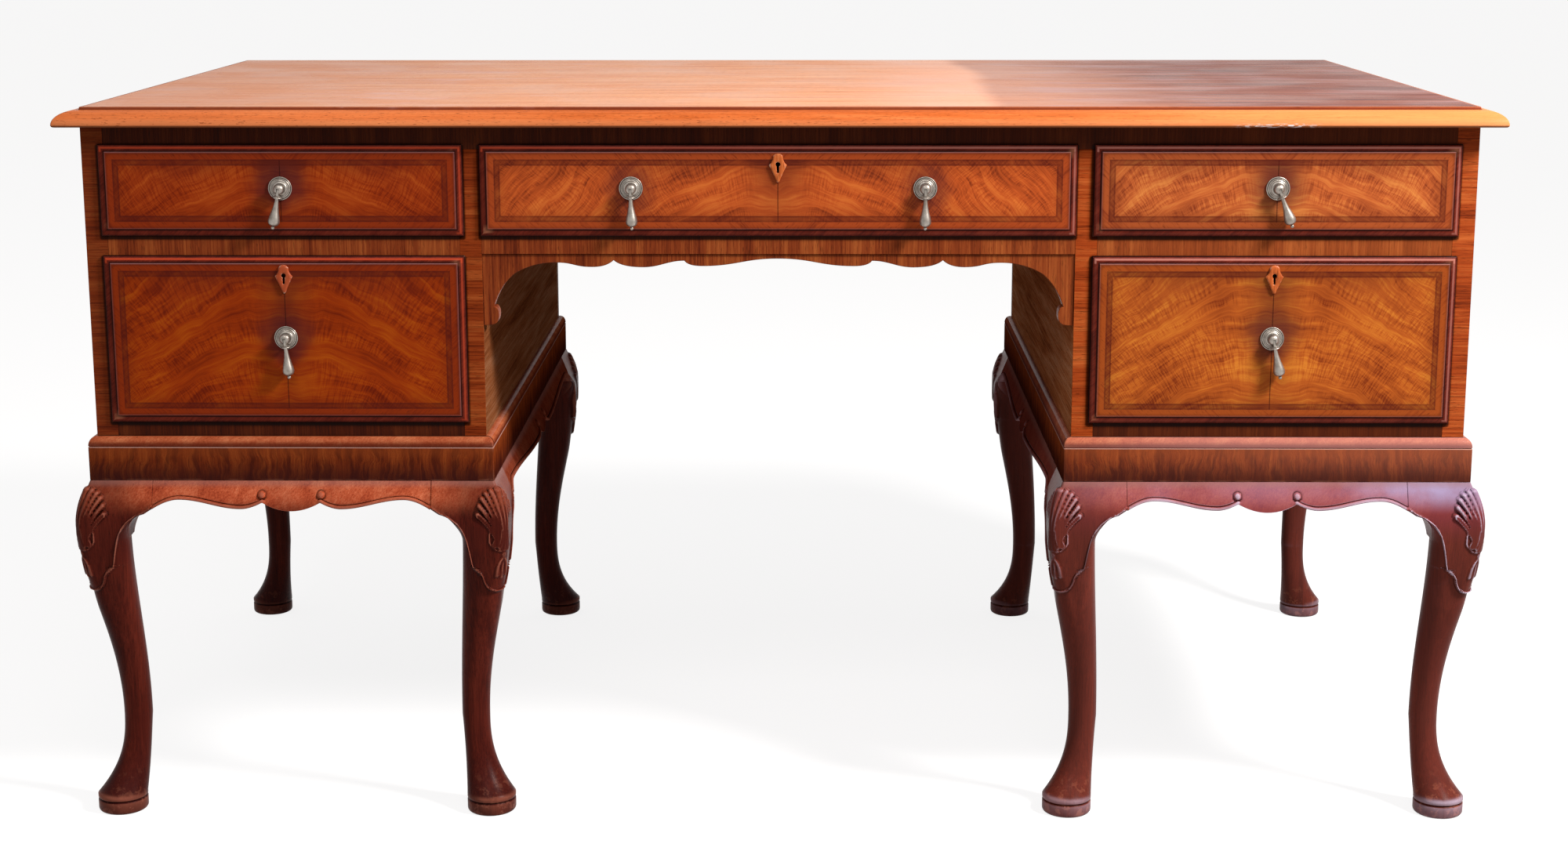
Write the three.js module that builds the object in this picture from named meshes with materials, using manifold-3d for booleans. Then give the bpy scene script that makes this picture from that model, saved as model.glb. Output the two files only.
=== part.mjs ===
// A walnut kneehole desk on two stands with cabriole legs.
// Millimetres, +Z up. The front faces -Y, and the origin is on the floor under the middle of the top.
import * as THREE from "three";
import { mergeVertices } from "three/addons/utils/BufferGeometryUtils.js";
import Module from "manifold-3d";

const wasm = await Module();
wasm.setup();

// Driving dimensions of the whole desk
const deskWidth = 1524;
const deskDepth = 820;
const deskHeight = 783;
const kneeholeWidth = 632;
const standHeight = 380;
const seat = 0.3; // gap kept between pieces that touch
const overrun = 5; // how far a cutting tool passes through the piece that it cuts

// Top board: a flat field, a small step and an ovolo that falls to a thin lip
const topThickness = 20;
const topOverhang = 24;
const topEdgeWidth = 24;
const topStepHeight = 3;
const topStepWidth = 2;
const topLipDrop = 17.5;
const topUndercut = 1.5;

// Carcass
const sideThickness = 23;
const guideThickness = 5;
const backThickness = 12;
const railDepth = 24;
const topRailHeight = 24.5;
const midRailHeight = 31.5;
const centreRailHeight = 24.5;
const bottomThickness = 20.5;
const dustBoardThickness = 12;
const upperOpeningShare = 0.338; // of the height that is left for the two drawers of a pedestal

// Kneehole apron under the centre drawer
const apronThickness = 18;
const apronRecess = 2;
const apronDepth = 77;

// Base frames between the carcass and the stands
const baseFrameHeight = 48;
const baseFrameWidth = 34;
const baseProjection = 8.5;
const baseOvoloHeight = 10;
const baseQuirk = 1;

// Drawers
const lipOverlap = 5.5;
const lipThickness = 6;
const lipFlat = 1.4;
const lipOvoloWidth = 7.5;
const lipStep = 1.2;
const lipStepWidth = 0.5;
const frontRebate = 14;
const drawerClearance = 1;
const drawerTopClearance = 2;
const drawerLength = 620;
const drawerBoard = 10;
const drawerBottomThickness = 5;
const drawerBottomRaise = 7;
const boxDrop = 7; // how far the box stands below the drawer front's own top edge

// Locks and keyholes
const lockWidth = 44;
const lockHeight = 34;
const lockDepth = 9;
const lockTopDrop = 1;
const keyholeRadius = 2.5;
const keyholeSlotWidth = 2.2;
const keyholeSlotLength = 9;
const keyholeDrop = 21; // below the top edge of the drawer's lip
const shieldWidth = 19;
const shieldHeight = 31;
const shieldThickness = 2.4;
const shieldAbove = 11.5; // how far the shield reaches above the keyhole

// Drop pulls: a domed rosette whose slotted knob holds a pin, and a drop that hangs on the pin
const rosetteRadius = 12.6;
const rosetteRim = 1.5;
const rosetteRimWidth = 1.3;
const domeHeight = 3.7;
const knobRadius = 5.6;
const knobHalfDepth = 4.2;
const knobReach = 8.5; // from the drawer's face to the fullest part of the knob, and to the pin
const knobNeck = 4.2;
const pinRadius = 1;
const pinDrop = 1; // of the pin below the middle of the rosette
const pinClearance = 0.1;
const slotClearance = 0.3;
const slotWidth = 3;
const dropSwing = 75; // degrees that the drop swings up to the front
const tongueWidth = 2.4;
const tongueRadius = 2.3;
const bellDrop = 5.1; // from the pin to the top of the bell
const bellHeight = 3.2;
const bellRadius = 5.4;
const dropNeck = 2;
const dropRadius = 6.2;
const dropLength = 42.6; // from the pin to the tip of the ball
const dropBall = 2;
const pullDrop = 46.4; // of an upper drawer's rosette below the top edge of its lip
const lowerPullDrop = 88.3;
const centrePullSpread = 155.5;

// Stands: cabriole legs and shaped aprons
const kneeReach = 23; // how far the knee stands out past the carcass
const kneeBack = 28.5;
const postWidth = 50;
const ankleInset = 6.5;
const ankleWidth = 30.8;
const footRadius = 27;
const footInset = 4.6;
const toeHeight = 20;
const padHeight = 14;
const padGroove = 1.5;
const padRounding = 4;
const kneeHeightShare = 0.86;
const ankleHeightShare = 0.28;
const kneeFallShare = 0.93; // powers and roundings that shape the cabriole curve
const postRiseShare = 0.8;
const footFlareShare = 2.6;
const heelFlareShare = 0.9;
const kneeRoundShare = 0.45;
const kneeInnerRoundShare = 0.9;
const postRoundShare = 0.08;
const shinRoundShare = 1.4;
const bracketReach = 89; // from the corner to the crest of the arch beside the leg
const bracketTipDrop = 75; // of the bracket's tip below the top of the stand
const bracketEnd = 60; // where the leg's bracket ends and the apron begins
const bracketRoot = 4;
const bracketThickness = 20;
const bracketTipIn = 28; // from the corner to the bracket's tip
const bracketTipBevel = 12;
const earIn = 50; // where the apron's arch meets the bracket's curve in a small ear
const earDrop = 36;
const earBevel = 1;
const standApronInside = 14;
const archDrop = 19.8;
const dipDrop = 29.4;
const cuspDrop = 22.7;
const lobeDrop = 31.6;
const cuspAt = 31.5;
const dipAt = 54;
const beadHeight = 4;
const beadProud = 1.6;

// Derived places
const carcassX = deskWidth / 2 - topOverhang;
const carcassY = deskDepth / 2 - topOverhang;
const kneeholeX = kneeholeWidth / 2;
const front = -carcassY;
const carcassTop = deskHeight - topThickness;
const carcassBottom = standHeight + baseFrameHeight;
const pedestalX = (carcassX + kneeholeX) / 2;
const pedestalHalf = (carcassX - kneeholeX) / 2;
const innerSideFace = kneeholeX + sideThickness;
const outerSideFace = carcassX - sideThickness;
const backFace = carcassY - backThickness;
const openingsHeight = carcassTop - carcassBottom - topRailHeight - midRailHeight - bottomThickness;
const upperTop = carcassTop - topRailHeight;
const upperBottom = upperTop - openingsHeight * upperOpeningShare;
const lowerTop = upperBottom - midRailHeight;
const lowerBottom = carcassBottom + bottomThickness;
const kneeholeTop = upperBottom - centreRailHeight;
const drawerFace = front - lipThickness;
const kneeZ = standHeight * kneeHeightShare;
const ankleZ = standHeight * ankleHeightShare;
const bracketTipZ = standHeight - bracketTipDrop;

// Materials, with the colours that the finished woods and metals show
const woods = {
  top: new THREE.MeshStandardMaterial({ color: 0xb5562c, roughness: 0.28, metalness: 0 }),
  carcass: new THREE.MeshStandardMaterial({ color: 0x6b2a12, roughness: 0.36, metalness: 0 }),
  side: new THREE.MeshStandardMaterial({ color: 0x552414, roughness: 0.38, metalness: 0 }),
  drawer: new THREE.MeshStandardMaterial({ color: 0x8f3c17, roughness: 0.32, metalness: 0 }),
  lining: new THREE.MeshStandardMaterial({ color: 0xb98b5a, roughness: 0.62, metalness: 0 }),
  stand: new THREE.MeshStandardMaterial({ color: 0x4a1710, roughness: 0.3, metalness: 0 }),
  shield: new THREE.MeshStandardMaterial({ color: 0xc4571d, roughness: 0.45, metalness: 0 }),
};
const metals = {
  pull: new THREE.MeshStandardMaterial({ color: 0x9c8f80, roughness: 0.35, metalness: 0.9 }),
  lock: new THREE.MeshStandardMaterial({ color: 0x9a7b45, roughness: 0.45, metalness: 0.9 }),
};

// Geometry helpers
const weldDistance = 1e-4;

function solidOf(geometry) {
  const bare = new THREE.BufferGeometry();
  bare.setAttribute("position", geometry.getAttribute("position"));
  bare.setIndex(geometry.index);
  const welded = mergeVertices(bare, weldDistance);
  const vertProperties = welded.getAttribute("position").array;
  const triVerts = new Uint32Array(welded.index.array);
  return new wasm.Manifold(new wasm.Mesh({ numProp: 3, vertProperties, triVerts }));
}

function geometryOf(solid) {
  const mesh = solid.getMesh();
  const geometry = new THREE.BufferGeometry();
  geometry.setAttribute("position", new THREE.BufferAttribute(new Float32Array(mesh.vertProperties), 3));
  geometry.setIndex(new THREE.BufferAttribute(new Uint32Array(mesh.triVerts), 1));
  geometry.computeVertexNormals();
  return geometry;
}

function joined(...geometries) {
  return geometryOf(geometries.map(solidOf).reduce((sum, next) => sum.add(next)));
}

function cut(geometry, ...tools) {
  return geometryOf(tools.map(solidOf).reduce((rest, tool) => rest.subtract(tool), solidOf(geometry)));
}

function block(x0, x1, y0, y1, z0, z1) {
  const box = new THREE.BoxGeometry(x1 - x0, y1 - y0, z1 - z0);
  return box.translate((x0 + x1) / 2, (y0 + y1) / 2, (z0 + z1) / 2);
}

// A closed skin over rings of points: each ring has as many points as the last, and each end is closed by
// a fan from its first point. A looped skin joins its last ring to its first instead.
function skin(rings, looped = false) {
  const size = rings[0].length;
  const faces = [];
  const spans = looped ? rings.length : rings.length - 1;
  for (let ring = 0; ring < spans; ring++) {
    const next = (ring + 1) % rings.length;
    for (let k = 0; k < size; k++) {
      const step = (k + 1) % size;
      faces.push([ring * size + k, ring * size + step, next * size + step]);
      faces.push([ring * size + k, next * size + step, next * size + k]);
    }
  }
  if (!looped) {
    const last = (rings.length - 1) * size;
    for (let k = 1; k < size - 1; k++) {
      faces.push([0, k + 1, k]);
      faces.push([last, last + k, last + k + 1]);
    }
  }
  const points = rings.flat();
  const volume = faces.reduce((sum, [a, b, c]) => sum + points[a].dot(points[b].clone().cross(points[c])), 0);
  const outward = volume > 0 ? faces : faces.map(([a, b, c]) => [a, c, b]);
  const geometry = new THREE.BufferGeometry().setFromPoints(points);
  geometry.setIndex(outward.flat());
  geometry.computeVertexNormals();
  return geometry;
}

// A plate with a flat outline in X and Z, from one Y to another
function plateXZ(outline, y0, y1) {
  const plate = new THREE.ExtrudeGeometry(outline, { depth: y1 - y0, bevelEnabled: false, curveSegments: 8 });
  return plate.rotateX(Math.PI / 2).translate(0, y1, 0);
}

// A bar with a flat outline in Y and Z, from one X to another
function barYZ(points, x0, x1) {
  const outline = new THREE.Shape(points.map(([y, z]) => new THREE.Vector2(y, z)));
  const bar = new THREE.ExtrudeGeometry(outline, { depth: x1 - x0, bevelEnabled: false });
  const alongX = new THREE.Matrix4().makeBasis(
    new THREE.Vector3(0, 1, 0),
    new THREE.Vector3(0, 0, 1),
    new THREE.Vector3(1, 0, 0),
  );
  return bar.applyMatrix4(alongX).translate(x0, 0, 0);
}

// The four corners of a rectangle that lies level at height z
function levelRing(halfX, halfY, z) {
  const corners = [[-1, -1], [1, -1], [1, 1], [-1, 1]];
  return corners.map(([x, y]) => new THREE.Vector3(x * halfX, y * halfY, z));
}

// The four corners of an upright rectangle that faces -Y
function uprightRing(x0, x1, z0, z1, y) {
  return [[x0, z0], [x1, z0], [x1, z1], [x0, z1]].map(([x, z]) => new THREE.Vector3(x, y, z));
}

// Points of a convex quarter ellipse, from its crown (0 in, 0 down) to its outer tip
function ovolo(width, height, steps) {
  return Array.from({ length: steps + 1 }, (_, k) => {
    const turn = (Math.PI / 2) * (k / steps);
    return { inset: width * (1 - Math.sin(turn)), drop: height * (1 - Math.cos(turn)) };
  });
}

function ease(t) {
  const held = Math.min(1, Math.max(0, t));
  return (1 - Math.cos(Math.PI * held)) / 2;
}

function mix(a, b, t) {
  return a + (b - a) * t;
}

// The assembly
const desk = new THREE.Group();
desk.name = "kneehole_desk";

function place(name, geometry, material, parent = desk) {
  const mesh = new THREE.Mesh(geometry, material);
  mesh.name = name;
  parent.add(mesh);
  return mesh;
}

// Top board
function topBoard() {
  const edge = ovolo(topEdgeWidth - topStepWidth, topLipDrop - topStepHeight, 6);
  const levels = [
    { inset: topEdgeWidth, drop: 0 },
    { inset: topEdgeWidth - topStepWidth / 4, drop: topStepHeight },
    ...edge.map(({ inset, drop }) => ({ inset, drop: drop + topStepHeight })),
    { inset: topUndercut, drop: topThickness },
  ];
  const ring = ({ inset, drop }) => levelRing(deskWidth / 2 - inset, deskDepth / 2 - inset, deskHeight - drop);
  return skin(levels.map(ring));
}

// Outer sides run the full depth, and the back panel fits between them
function outerSide() {
  return block(outerSideFace, carcassX, front, carcassY, carcassBottom, carcassTop - seat);
}

// Inner sides are notched at the top for the top rail, and carry a guide for the centre drawer
function innerSide() {
  const top = carcassTop - seat;
  const railBack = front + railDepth + seat;
  const outline = [
    [front, carcassBottom],
    [backFace - seat, carcassBottom],
    [backFace - seat, top],
    [railBack, top],
    [railBack, upperTop - seat],
    [front, upperTop - seat],
  ];
  const panel = barYZ(outline, kneeholeX, innerSideFace);
  const guide = block(
    kneeholeX - guideThickness,
    kneeholeX + sideThickness / 2,
    front,
    backFace - seat,
    upperBottom + seat,
    upperTop - seat,
  );
  return joined(panel, guide);
}

function topRail() {
  const reach = outerSideFace - seat;
  return block(-reach, reach, front, front + railDepth, upperTop, carcassTop - seat);
}

// A drawer divider: a dust board whose front edge is a deeper rail
function divider(x0, x1, railBottom) {
  const boardBottom = upperBottom - dustBoardThickness;
  const outline = [
    [front, railBottom],
    [front + railDepth, railBottom],
    [front + railDepth, boardBottom],
    [backFace - seat, boardBottom],
    [backFace - seat, upperBottom],
    [front, upperBottom],
  ];
  return barYZ(outline, x0 + seat, x1 - seat);
}

function pedestalBottom(x0, x1) {
  return block(x0 + seat, x1 - seat, front, backFace - seat, carcassBottom, lowerBottom);
}

// One back panel closes both pedestals and the centre drawer, and is cut away at the kneehole
function backPanel() {
  const reach = outerSideFace - seat;
  const outline = new THREE.Shape();
  outline.moveTo(-reach, carcassBottom);
  outline.lineTo(-kneeholeX, carcassBottom);
  outline.lineTo(-kneeholeX, kneeholeTop);
  outline.lineTo(kneeholeX, kneeholeTop);
  outline.lineTo(kneeholeX, carcassBottom);
  outline.lineTo(reach, carcassBottom);
  outline.lineTo(reach, carcassTop - seat);
  outline.lineTo(-reach, carcassTop - seat);
  outline.closePath();
  return plateXZ(outline, backFace, carcassY);
}

// Kneehole apron: scallops between two quarter-round brackets that end in a small lobe
function kneeholeApron() {
  const half = kneeholeX - seat;
  const top = kneeholeTop - seat;
  // Places from the middle outwards, as shares of the half width and of the apron's depth
  const archShares = [0, 0.065];
  const firstDipShares = [0.256, 0.17];
  const firstCornerShares = [0.305, 0.17];
  const firstCuspShares = [0.317, 0.095];
  const secondDipShares = [0.456, 0.187];
  const secondCornerShares = [0.53, 0.187];
  const secondCuspShares = [0.556, 0.088];
  const thirdCornerShares = [0.58, 0.184];
  const thirdDipShares = [0.629, 0.184];
  const crestShares = [0.752, 0.122];
  const crestCornerShares = [0.83, 0.122];
  const spandrelShares = [0.893, 0.28];
  const spandrelCornerShares = [0.943, 0.45];
  const waistShares = [0.965, 0.74];
  const waistCornerShares = [0.948, 0.74];
  const lobeShares = [0.948, 0.86];
  const lobeCornerShares = [0.948, 1];
  const tipShares = [0.978, 1];
  // How far along a long swing its handles reach
  const archPullShare = 0.45;
  const cuspPullShare = 0.4;
  const crestPullShare = 0.5;
  const at = ([along, down]) => [half * along, top - apronDepth * down];
  const edge = new THREE.Path();
  edge.moveTo(...at(archShares));

  // A swing leaves one place level and lands in the next one level again
  function swing(from, to, pull) {
    const [x0, z0] = at(from);
    const [x1, z1] = at(to);
    edge.bezierCurveTo(mix(x0, x1, pull), z0, mix(x1, x0, pull), z1, x1, z1);
  }
  function round(corner, to) {
    edge.quadraticCurveTo(...at(corner), ...at(to));
  }

  swing(archShares, firstDipShares, archPullShare);
  round(firstCornerShares, firstCuspShares);
  swing(firstCuspShares, secondDipShares, cuspPullShare);
  round(secondCornerShares, secondCuspShares);
  round(thirdCornerShares, thirdDipShares);
  swing(thirdDipShares, crestShares, crestPullShare);
  round(crestCornerShares, spandrelShares);
  round(spandrelCornerShares, waistShares);
  round(waistCornerShares, lobeShares);
  round(lobeCornerShares, tipShares);
  const right = [
    ...edge.getPoints(4),
    new THREE.Vector2(half, top - apronDepth),
    new THREE.Vector2(half, top),
  ];
  const left = right.slice(1).map(({ x, y }) => new THREE.Vector2(-x, y));
  const face = front + apronRecess;
  return plateXZ(new THREE.Shape([...left.reverse(), ...right]), face, face + apronThickness);
}

// Base frame: a mitred frame with an upright frieze, a quirk and an ovolo that meets the carcass
function baseFrame() {
  const friezeTop = baseFrameHeight - baseOvoloHeight - baseQuirk;
  const crown = ovolo(baseProjection - baseQuirk, baseOvoloHeight, 4);
  const profile = [
    [-baseFrameWidth, 0],
    [baseProjection, 0],
    [baseProjection, friezeTop],
    [baseProjection - baseQuirk, friezeTop],
    ...crown.reverse().map(({ inset, drop }) => [baseProjection - inset, baseFrameHeight - seat - drop]),
    [-baseFrameWidth, baseFrameHeight - seat],
  ];
  const corners = [[-1, -1], [1, -1], [1, 1], [-1, 1]];
  const rings = corners.map(([x, y]) =>
    profile.map(
      ([out, up]) => new THREE.Vector3(x * (pedestalHalf + out), y * (carcassY + out), standHeight + up),
    ),
  );
  return skin(rings, true);
}

// Cabriole leg. How far its shin has bent from the knee towards the ankle, at height z
function shinShare(z) {
  return ease(((kneeZ - z) / (kneeZ - ankleZ)) ** kneeFallShare);
}

// How far its outer faces stand out past the corner of the carcass
function legOut(z) {
  if (z >= kneeZ) {
    const fall = (standHeight - z) / (standHeight - kneeZ);
    return mix(baseProjection, kneeReach, Math.sin((Math.PI / 2) * fall));
  }
  if (z >= ankleZ) return mix(kneeReach, -ankleInset, shinShare(z));
  const spread = Math.min(1, (ankleZ - z) / (ankleZ - toeHeight));
  return mix(-ankleInset, footRadius - footInset, spread ** footFlareShare);
}

// How far its inner faces lie inside that corner
function legBack(z) {
  const ankleBack = ankleInset + ankleWidth;
  if (z >= kneeZ) return mix(kneeBack, postWidth, ease((z - kneeZ) / (standHeight - kneeZ) / postRiseShare));
  if (z >= ankleZ) return mix(kneeBack, ankleBack, shinShare(z));
  const spread = Math.min(1, (ankleZ - z) / (ankleZ - toeHeight));
  return mix(ankleBack, footRadius + footInset, spread ** heelFlareShare);
}

// How round its corners are: nearly square at the top, a full circle from the shin down
function legRoundness(z, share) {
  if (z >= kneeZ) return mix(share, postRoundShare, (z - kneeZ) / (standHeight - kneeZ));
  return mix(share, 1, ease(((kneeZ - z) / (kneeZ - ankleZ)) * shinRoundShare));
}

// A section of the leg as a rounded square, with the corner of the carcass at the origin.
// The corner that shows keeps a crisper edge than the other three
function legRing(out, back, crisp, soft, z) {
  const half = (back + out) / 2;
  const middle = (back - out) / 2;
  const arcSteps = 3;
  const shownCorner = 2;
  const ring = [];
  for (let corner = 0; corner < 4; corner++) {
    const radius = half * (corner === shownCorner ? crisp : soft);
    const start = (corner * Math.PI) / 2;
    const cx = middle + (half - radius) * Math.SQRT2 * Math.cos(start + Math.PI / 4);
    const cy = middle + (half - radius) * Math.SQRT2 * Math.sin(start + Math.PI / 4);
    for (let k = 0; k <= arcSteps; k++) {
      // the arcs stop just short of a quarter, so that a full circle has no two points in one place
      const turn = start + (Math.PI / 2) * ((k + 0.5) / (arcSteps + 1));
      const reach = radius / Math.cos(Math.PI / 4 / (arcSteps + 1));
      ring.push(new THREE.Vector3(cx + reach * Math.cos(turn), cy + reach * Math.sin(turn), z));
    }
  }
  return ring;
}

// The arch between two legs: its height at a distance in from the corner, from the ear up to the crest
function archHeight(inward) {
  const run = (inward - earIn) / (bracketReach - earIn);
  return mix(standHeight - earDrop, standHeight - archDrop, Math.sin((Math.PI / 2) * run));
}

// The bracket beside the knee: below the ear its edge is a quarter ellipse that ends behind the leg
function bracket() {
  const top = standHeight - seat;
  const ear = standHeight - earDrop;
  const riseShares = [0, 0.2, 0.4, 0.58, 0.74, 0.87, 0.96, 1];
  const rings = riseShares.map((rise) => {
    const edge = mix(earIn, bracketTipIn, Math.sqrt(1 - rise * rise));
    return [mix(bracketTipZ, ear, rise), edge, mix(bracketTipBevel, earBevel, rise)];
  });
  const aboveEar = mix(earIn, bracketEnd, 0.5);
  rings.push([archHeight(aboveEar), aboveEar, earBevel]);
  rings.push([archHeight(bracketEnd), bracketEnd, earBevel]);
  rings.push([top, bracketEnd, earBevel]);
  return skin(
    rings.map(([z, edge, bevel]) => {
      const face = -legOut(z);
      return [
        [bracketRoot, face],
        [edge - bevel, face],
        [edge, face + bevel],
        [edge, bracketThickness],
        [bracketRoot, bracketThickness],
      ].map(([x, y]) => new THREE.Vector3(x, y, z));
    }),
  );
}

function leg() {
  const top = standHeight - seat;
  const upperShares = [1, 0.8, 0.6, 0.4, 0.2, 0];
  const lowerShares = [0.9, 0.78, 0.64, 0.5, 0.34, 0.16];
  const footShares = [1, 0.75, 0.5, 0.28, 0.12, 0];
  const heights = [
    ...upperShares.map((share) => mix(kneeZ, top, share)),
    ...lowerShares.map((share) => mix(ankleZ, kneeZ, share)),
    ...footShares.map((share) => mix(toeHeight, ankleZ, share)),
  ];
  const rings = heights.map((z) => {
    const crisp = legRoundness(z, kneeRoundShare);
    const soft = legRoundness(z, kneeInnerRoundShare);
    return legRing(legOut(z), legBack(z), crisp, soft, z);
  });
  const disc = (radius, z) => legRing(radius - footInset, radius + footInset, 1, 1, z);
  rings.push(disc(footRadius, padHeight + padGroove));
  rings.push(disc(footRadius - padGroove, padHeight + padGroove / 2));
  rings.push(disc(footRadius, padHeight));
  rings.push(disc(footRadius, padRounding));
  rings.push(disc(footRadius - padRounding, 0));
  const sideways = bracket();
  // the second bracket is the first one mirrored about the leg's diagonal
  const endways = sideways.clone().applyMatrix4(
    new THREE.Matrix4().set(0, 1, 0, 0, 1, 0, 0, 0, 0, 0, 1, 0, 0, 0, 0, 1),
  );
  const turned = endways.index.array;
  for (let k = 0; k < turned.length; k += 3) [turned[k], turned[k + 1]] = [turned[k + 1], turned[k]];
  return joined(skin(rings), sideways, endways);
}

// Stand apron: the height of its lower edge at a distance from its middle
function standApronEdge(along, half) {
  const u = Math.abs(along);
  const lobe = standHeight - lobeDrop;
  const cusp = standHeight - cuspDrop;
  const dip = standHeight - dipDrop;
  const crest = standHeight - archDrop;
  const crestAt = half + bracketEnd - bracketReach;
  if (u <= cuspAt) return mix(lobe, cusp, (u / cuspAt) ** 2);
  if (u <= dipAt) return mix(dip, cusp, ((dipAt - u) / (dipAt - cuspAt)) ** 1.8);
  if (u <= crestAt) return mix(dip, crest, ease((u - dipAt) / (crestAt - dipAt)));
  return archHeight(half + bracketEnd - u);
}

// The apron's face swells like the knee, and a bead stands along its lower edge
function standApron(half) {
  const top = standHeight - seat;
  const crestAt = half + bracketEnd - bracketReach;
  const lobeShares = [0, 0.4, 0.7, 0.88, 1];
  const dipShares = [0.15, 0.4, 0.7, 1];
  const riseShares = [0.25, 0.42, 0.58, 0.75, 1];
  const fallShares = [0.4, 0.7, 1];
  const side = [
    ...lobeShares.map((share) => cuspAt * share),
    ...dipShares.map((share) => mix(cuspAt, dipAt, share)),
    ...riseShares.map((share) => mix(dipAt, crestAt, share)),
    ...fallShares.map((share) => mix(crestAt, half, share)),
  ];
  const stations = [...side.slice(1).reverse().map((u) => -u), ...side];
  return skin(
    stations.map((u) => {
      const low = standApronEdge(u, half);
      const beadTop = low + beadHeight;
      const beadRoot = beadTop + beadProud / 2;
      return [
        [standApronInside, top],
        [standApronInside, low],
        [-legOut(low) - beadProud, low],
        [-legOut(beadTop) - beadProud, beadTop],
        [-legOut(beadRoot), beadRoot],
        [-legOut(top), top],
      ].map(([y, z]) => new THREE.Vector3(u, y, z));
    }),
  );
}

// Drawer fronts: a rebated board with a moulded lip around a slightly raised field
function drawerFront({ x0, x1, z0, z1 }) {
  const back = front + frontRebate;
  const behindLip = front - seat;
  const rings = [
    uprightRing(x0 + drawerClearance, x1 - drawerClearance, z0 + seat, z1 - drawerTopClearance, back),
    uprightRing(x0 + drawerClearance, x1 - drawerClearance, z0 + seat, z1 - drawerTopClearance, behindLip),
  ];
  const lipRing = (inset, y) => {
    const reach = lipOverlap - inset;
    return uprightRing(x0 - reach, x1 + reach, z0 - reach, z1 + reach, y);
  };
  const lipEdge = behindLip - lipFlat;
  const fieldFoot = drawerFace + lipStep;
  rings.push(lipRing(0, behindLip));
  ovolo(lipOvoloWidth, lipEdge - fieldFoot, 4)
    .reverse()
    .forEach(({ inset, drop }) => rings.push(lipRing(inset, fieldFoot + drop)));
  rings.push(lipRing(lipOvoloWidth + lipStepWidth, fieldFoot));
  rings.push(lipRing(lipOvoloWidth + lipStepWidth, drawerFace));
  return skin(rings);
}

// Drawer box: two sides, a back and a raised bottom, open at the top and against the drawer front
function drawerBox({ x0, x1, z0, z1 }) {
  const left = x0 + drawerClearance;
  const right = x1 - drawerClearance;
  const near = front + frontRebate + seat;
  const far = front + drawerLength;
  const low = z0 + seat;
  const high = z1 - drawerTopClearance - boxDrop;
  const floor = low + drawerBottomRaise;
  const inside = [left + drawerBoard, right - drawerBoard, near - overrun, far - drawerBoard];
  return cut(
    block(left, right, near, far, low, high),
    block(...inside, floor + drawerBottomThickness, high + overrun),
    block(...inside, low - overrun, floor),
  );
}

// A keyhole as a cutting tool: a round hole with a slot below it
function keyholeTool(x, z, y0, y1) {
  const outline = new THREE.Shape();
  const slotSpread = Math.asin(keyholeSlotWidth / 2 / keyholeRadius);
  outline.moveTo(x - keyholeSlotWidth / 2, z - keyholeSlotLength);
  outline.lineTo(x + keyholeSlotWidth / 2, z - keyholeSlotLength);
  outline.absarc(x, z, keyholeRadius, -Math.PI / 2 + slotSpread, (Math.PI * 3) / 2 - slotSpread, false);
  outline.closePath();
  return plateXZ(outline, y0, y1);
}

// Keyhole shield: a crowned top, shoulders that flare to two points, and a long taper to the foot
function keyholeShield(x, z) {
  const half = shieldWidth / 2;
  const crown = z + shieldAbove;
  // Places as shares of the half width and of the height below the crown
  const crownCornerShares = [0.4, 0];
  const neckShares = [0.5, 0.1];
  const neckCornerShares = [0.55, 0.26];
  const shoulderShares = [1, 0.4];
  const taperCornerShares = [0.5, 0.7];
  const tipShares = [0.2, 0.94];
  const footCornerShares = [0, 1.06];
  const at = ([out, down], side) => [x + side * half * out, crown - shieldHeight * down];
  const outline = new THREE.Shape();
  outline.moveTo(...at(tipShares, -1));
  outline.quadraticCurveTo(...at(footCornerShares, 1), ...at(tipShares, 1));
  outline.quadraticCurveTo(...at(taperCornerShares, 1), ...at(shoulderShares, 1));
  outline.quadraticCurveTo(...at(neckCornerShares, 1), ...at(neckShares, 1));
  outline.quadraticCurveTo(...at(crownCornerShares, 1), x, crown);
  outline.quadraticCurveTo(...at(crownCornerShares, -1), ...at(neckShares, -1));
  outline.quadraticCurveTo(...at(neckCornerShares, -1), ...at(shoulderShares, -1));
  outline.quadraticCurveTo(...at(taperCornerShares, -1), ...at(tipShares, -1));
  const face = drawerFace - seat;
  const plate = new THREE.ExtrudeGeometry(outline, {
    depth: shieldThickness,
    bevelEnabled: false,
    curveSegments: 3,
  });
  plate.rotateX(Math.PI / 2).translate(0, face, 0);
  return cut(plate, keyholeTool(x, z, face - shieldThickness - overrun, face + overrun));
}

// Lock: a brass case let into the back of the drawer front, bored for the key
function lockCase(x, keyZ, topZ) {
  const back = front + frontRebate - seat;
  const top = topZ - lockTopDrop;
  const half = lockWidth / 2;
  const body = block(x - half, x + half, back - lockDepth, back, top - lockHeight, top);
  return cut(body, keyholeTool(x, keyZ, back - lockDepth - overrun, back + overrun));
}

function lockMortise(x, topZ) {
  const back = front + frontRebate;
  const half = lockWidth / 2 + seat;
  const top = topZ - lockTopDrop;
  const deep = back - lockDepth - seat * 2;
  return block(x - half, x + half, deep, back + overrun, top - lockHeight - seat, top + overrun);
}

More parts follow.
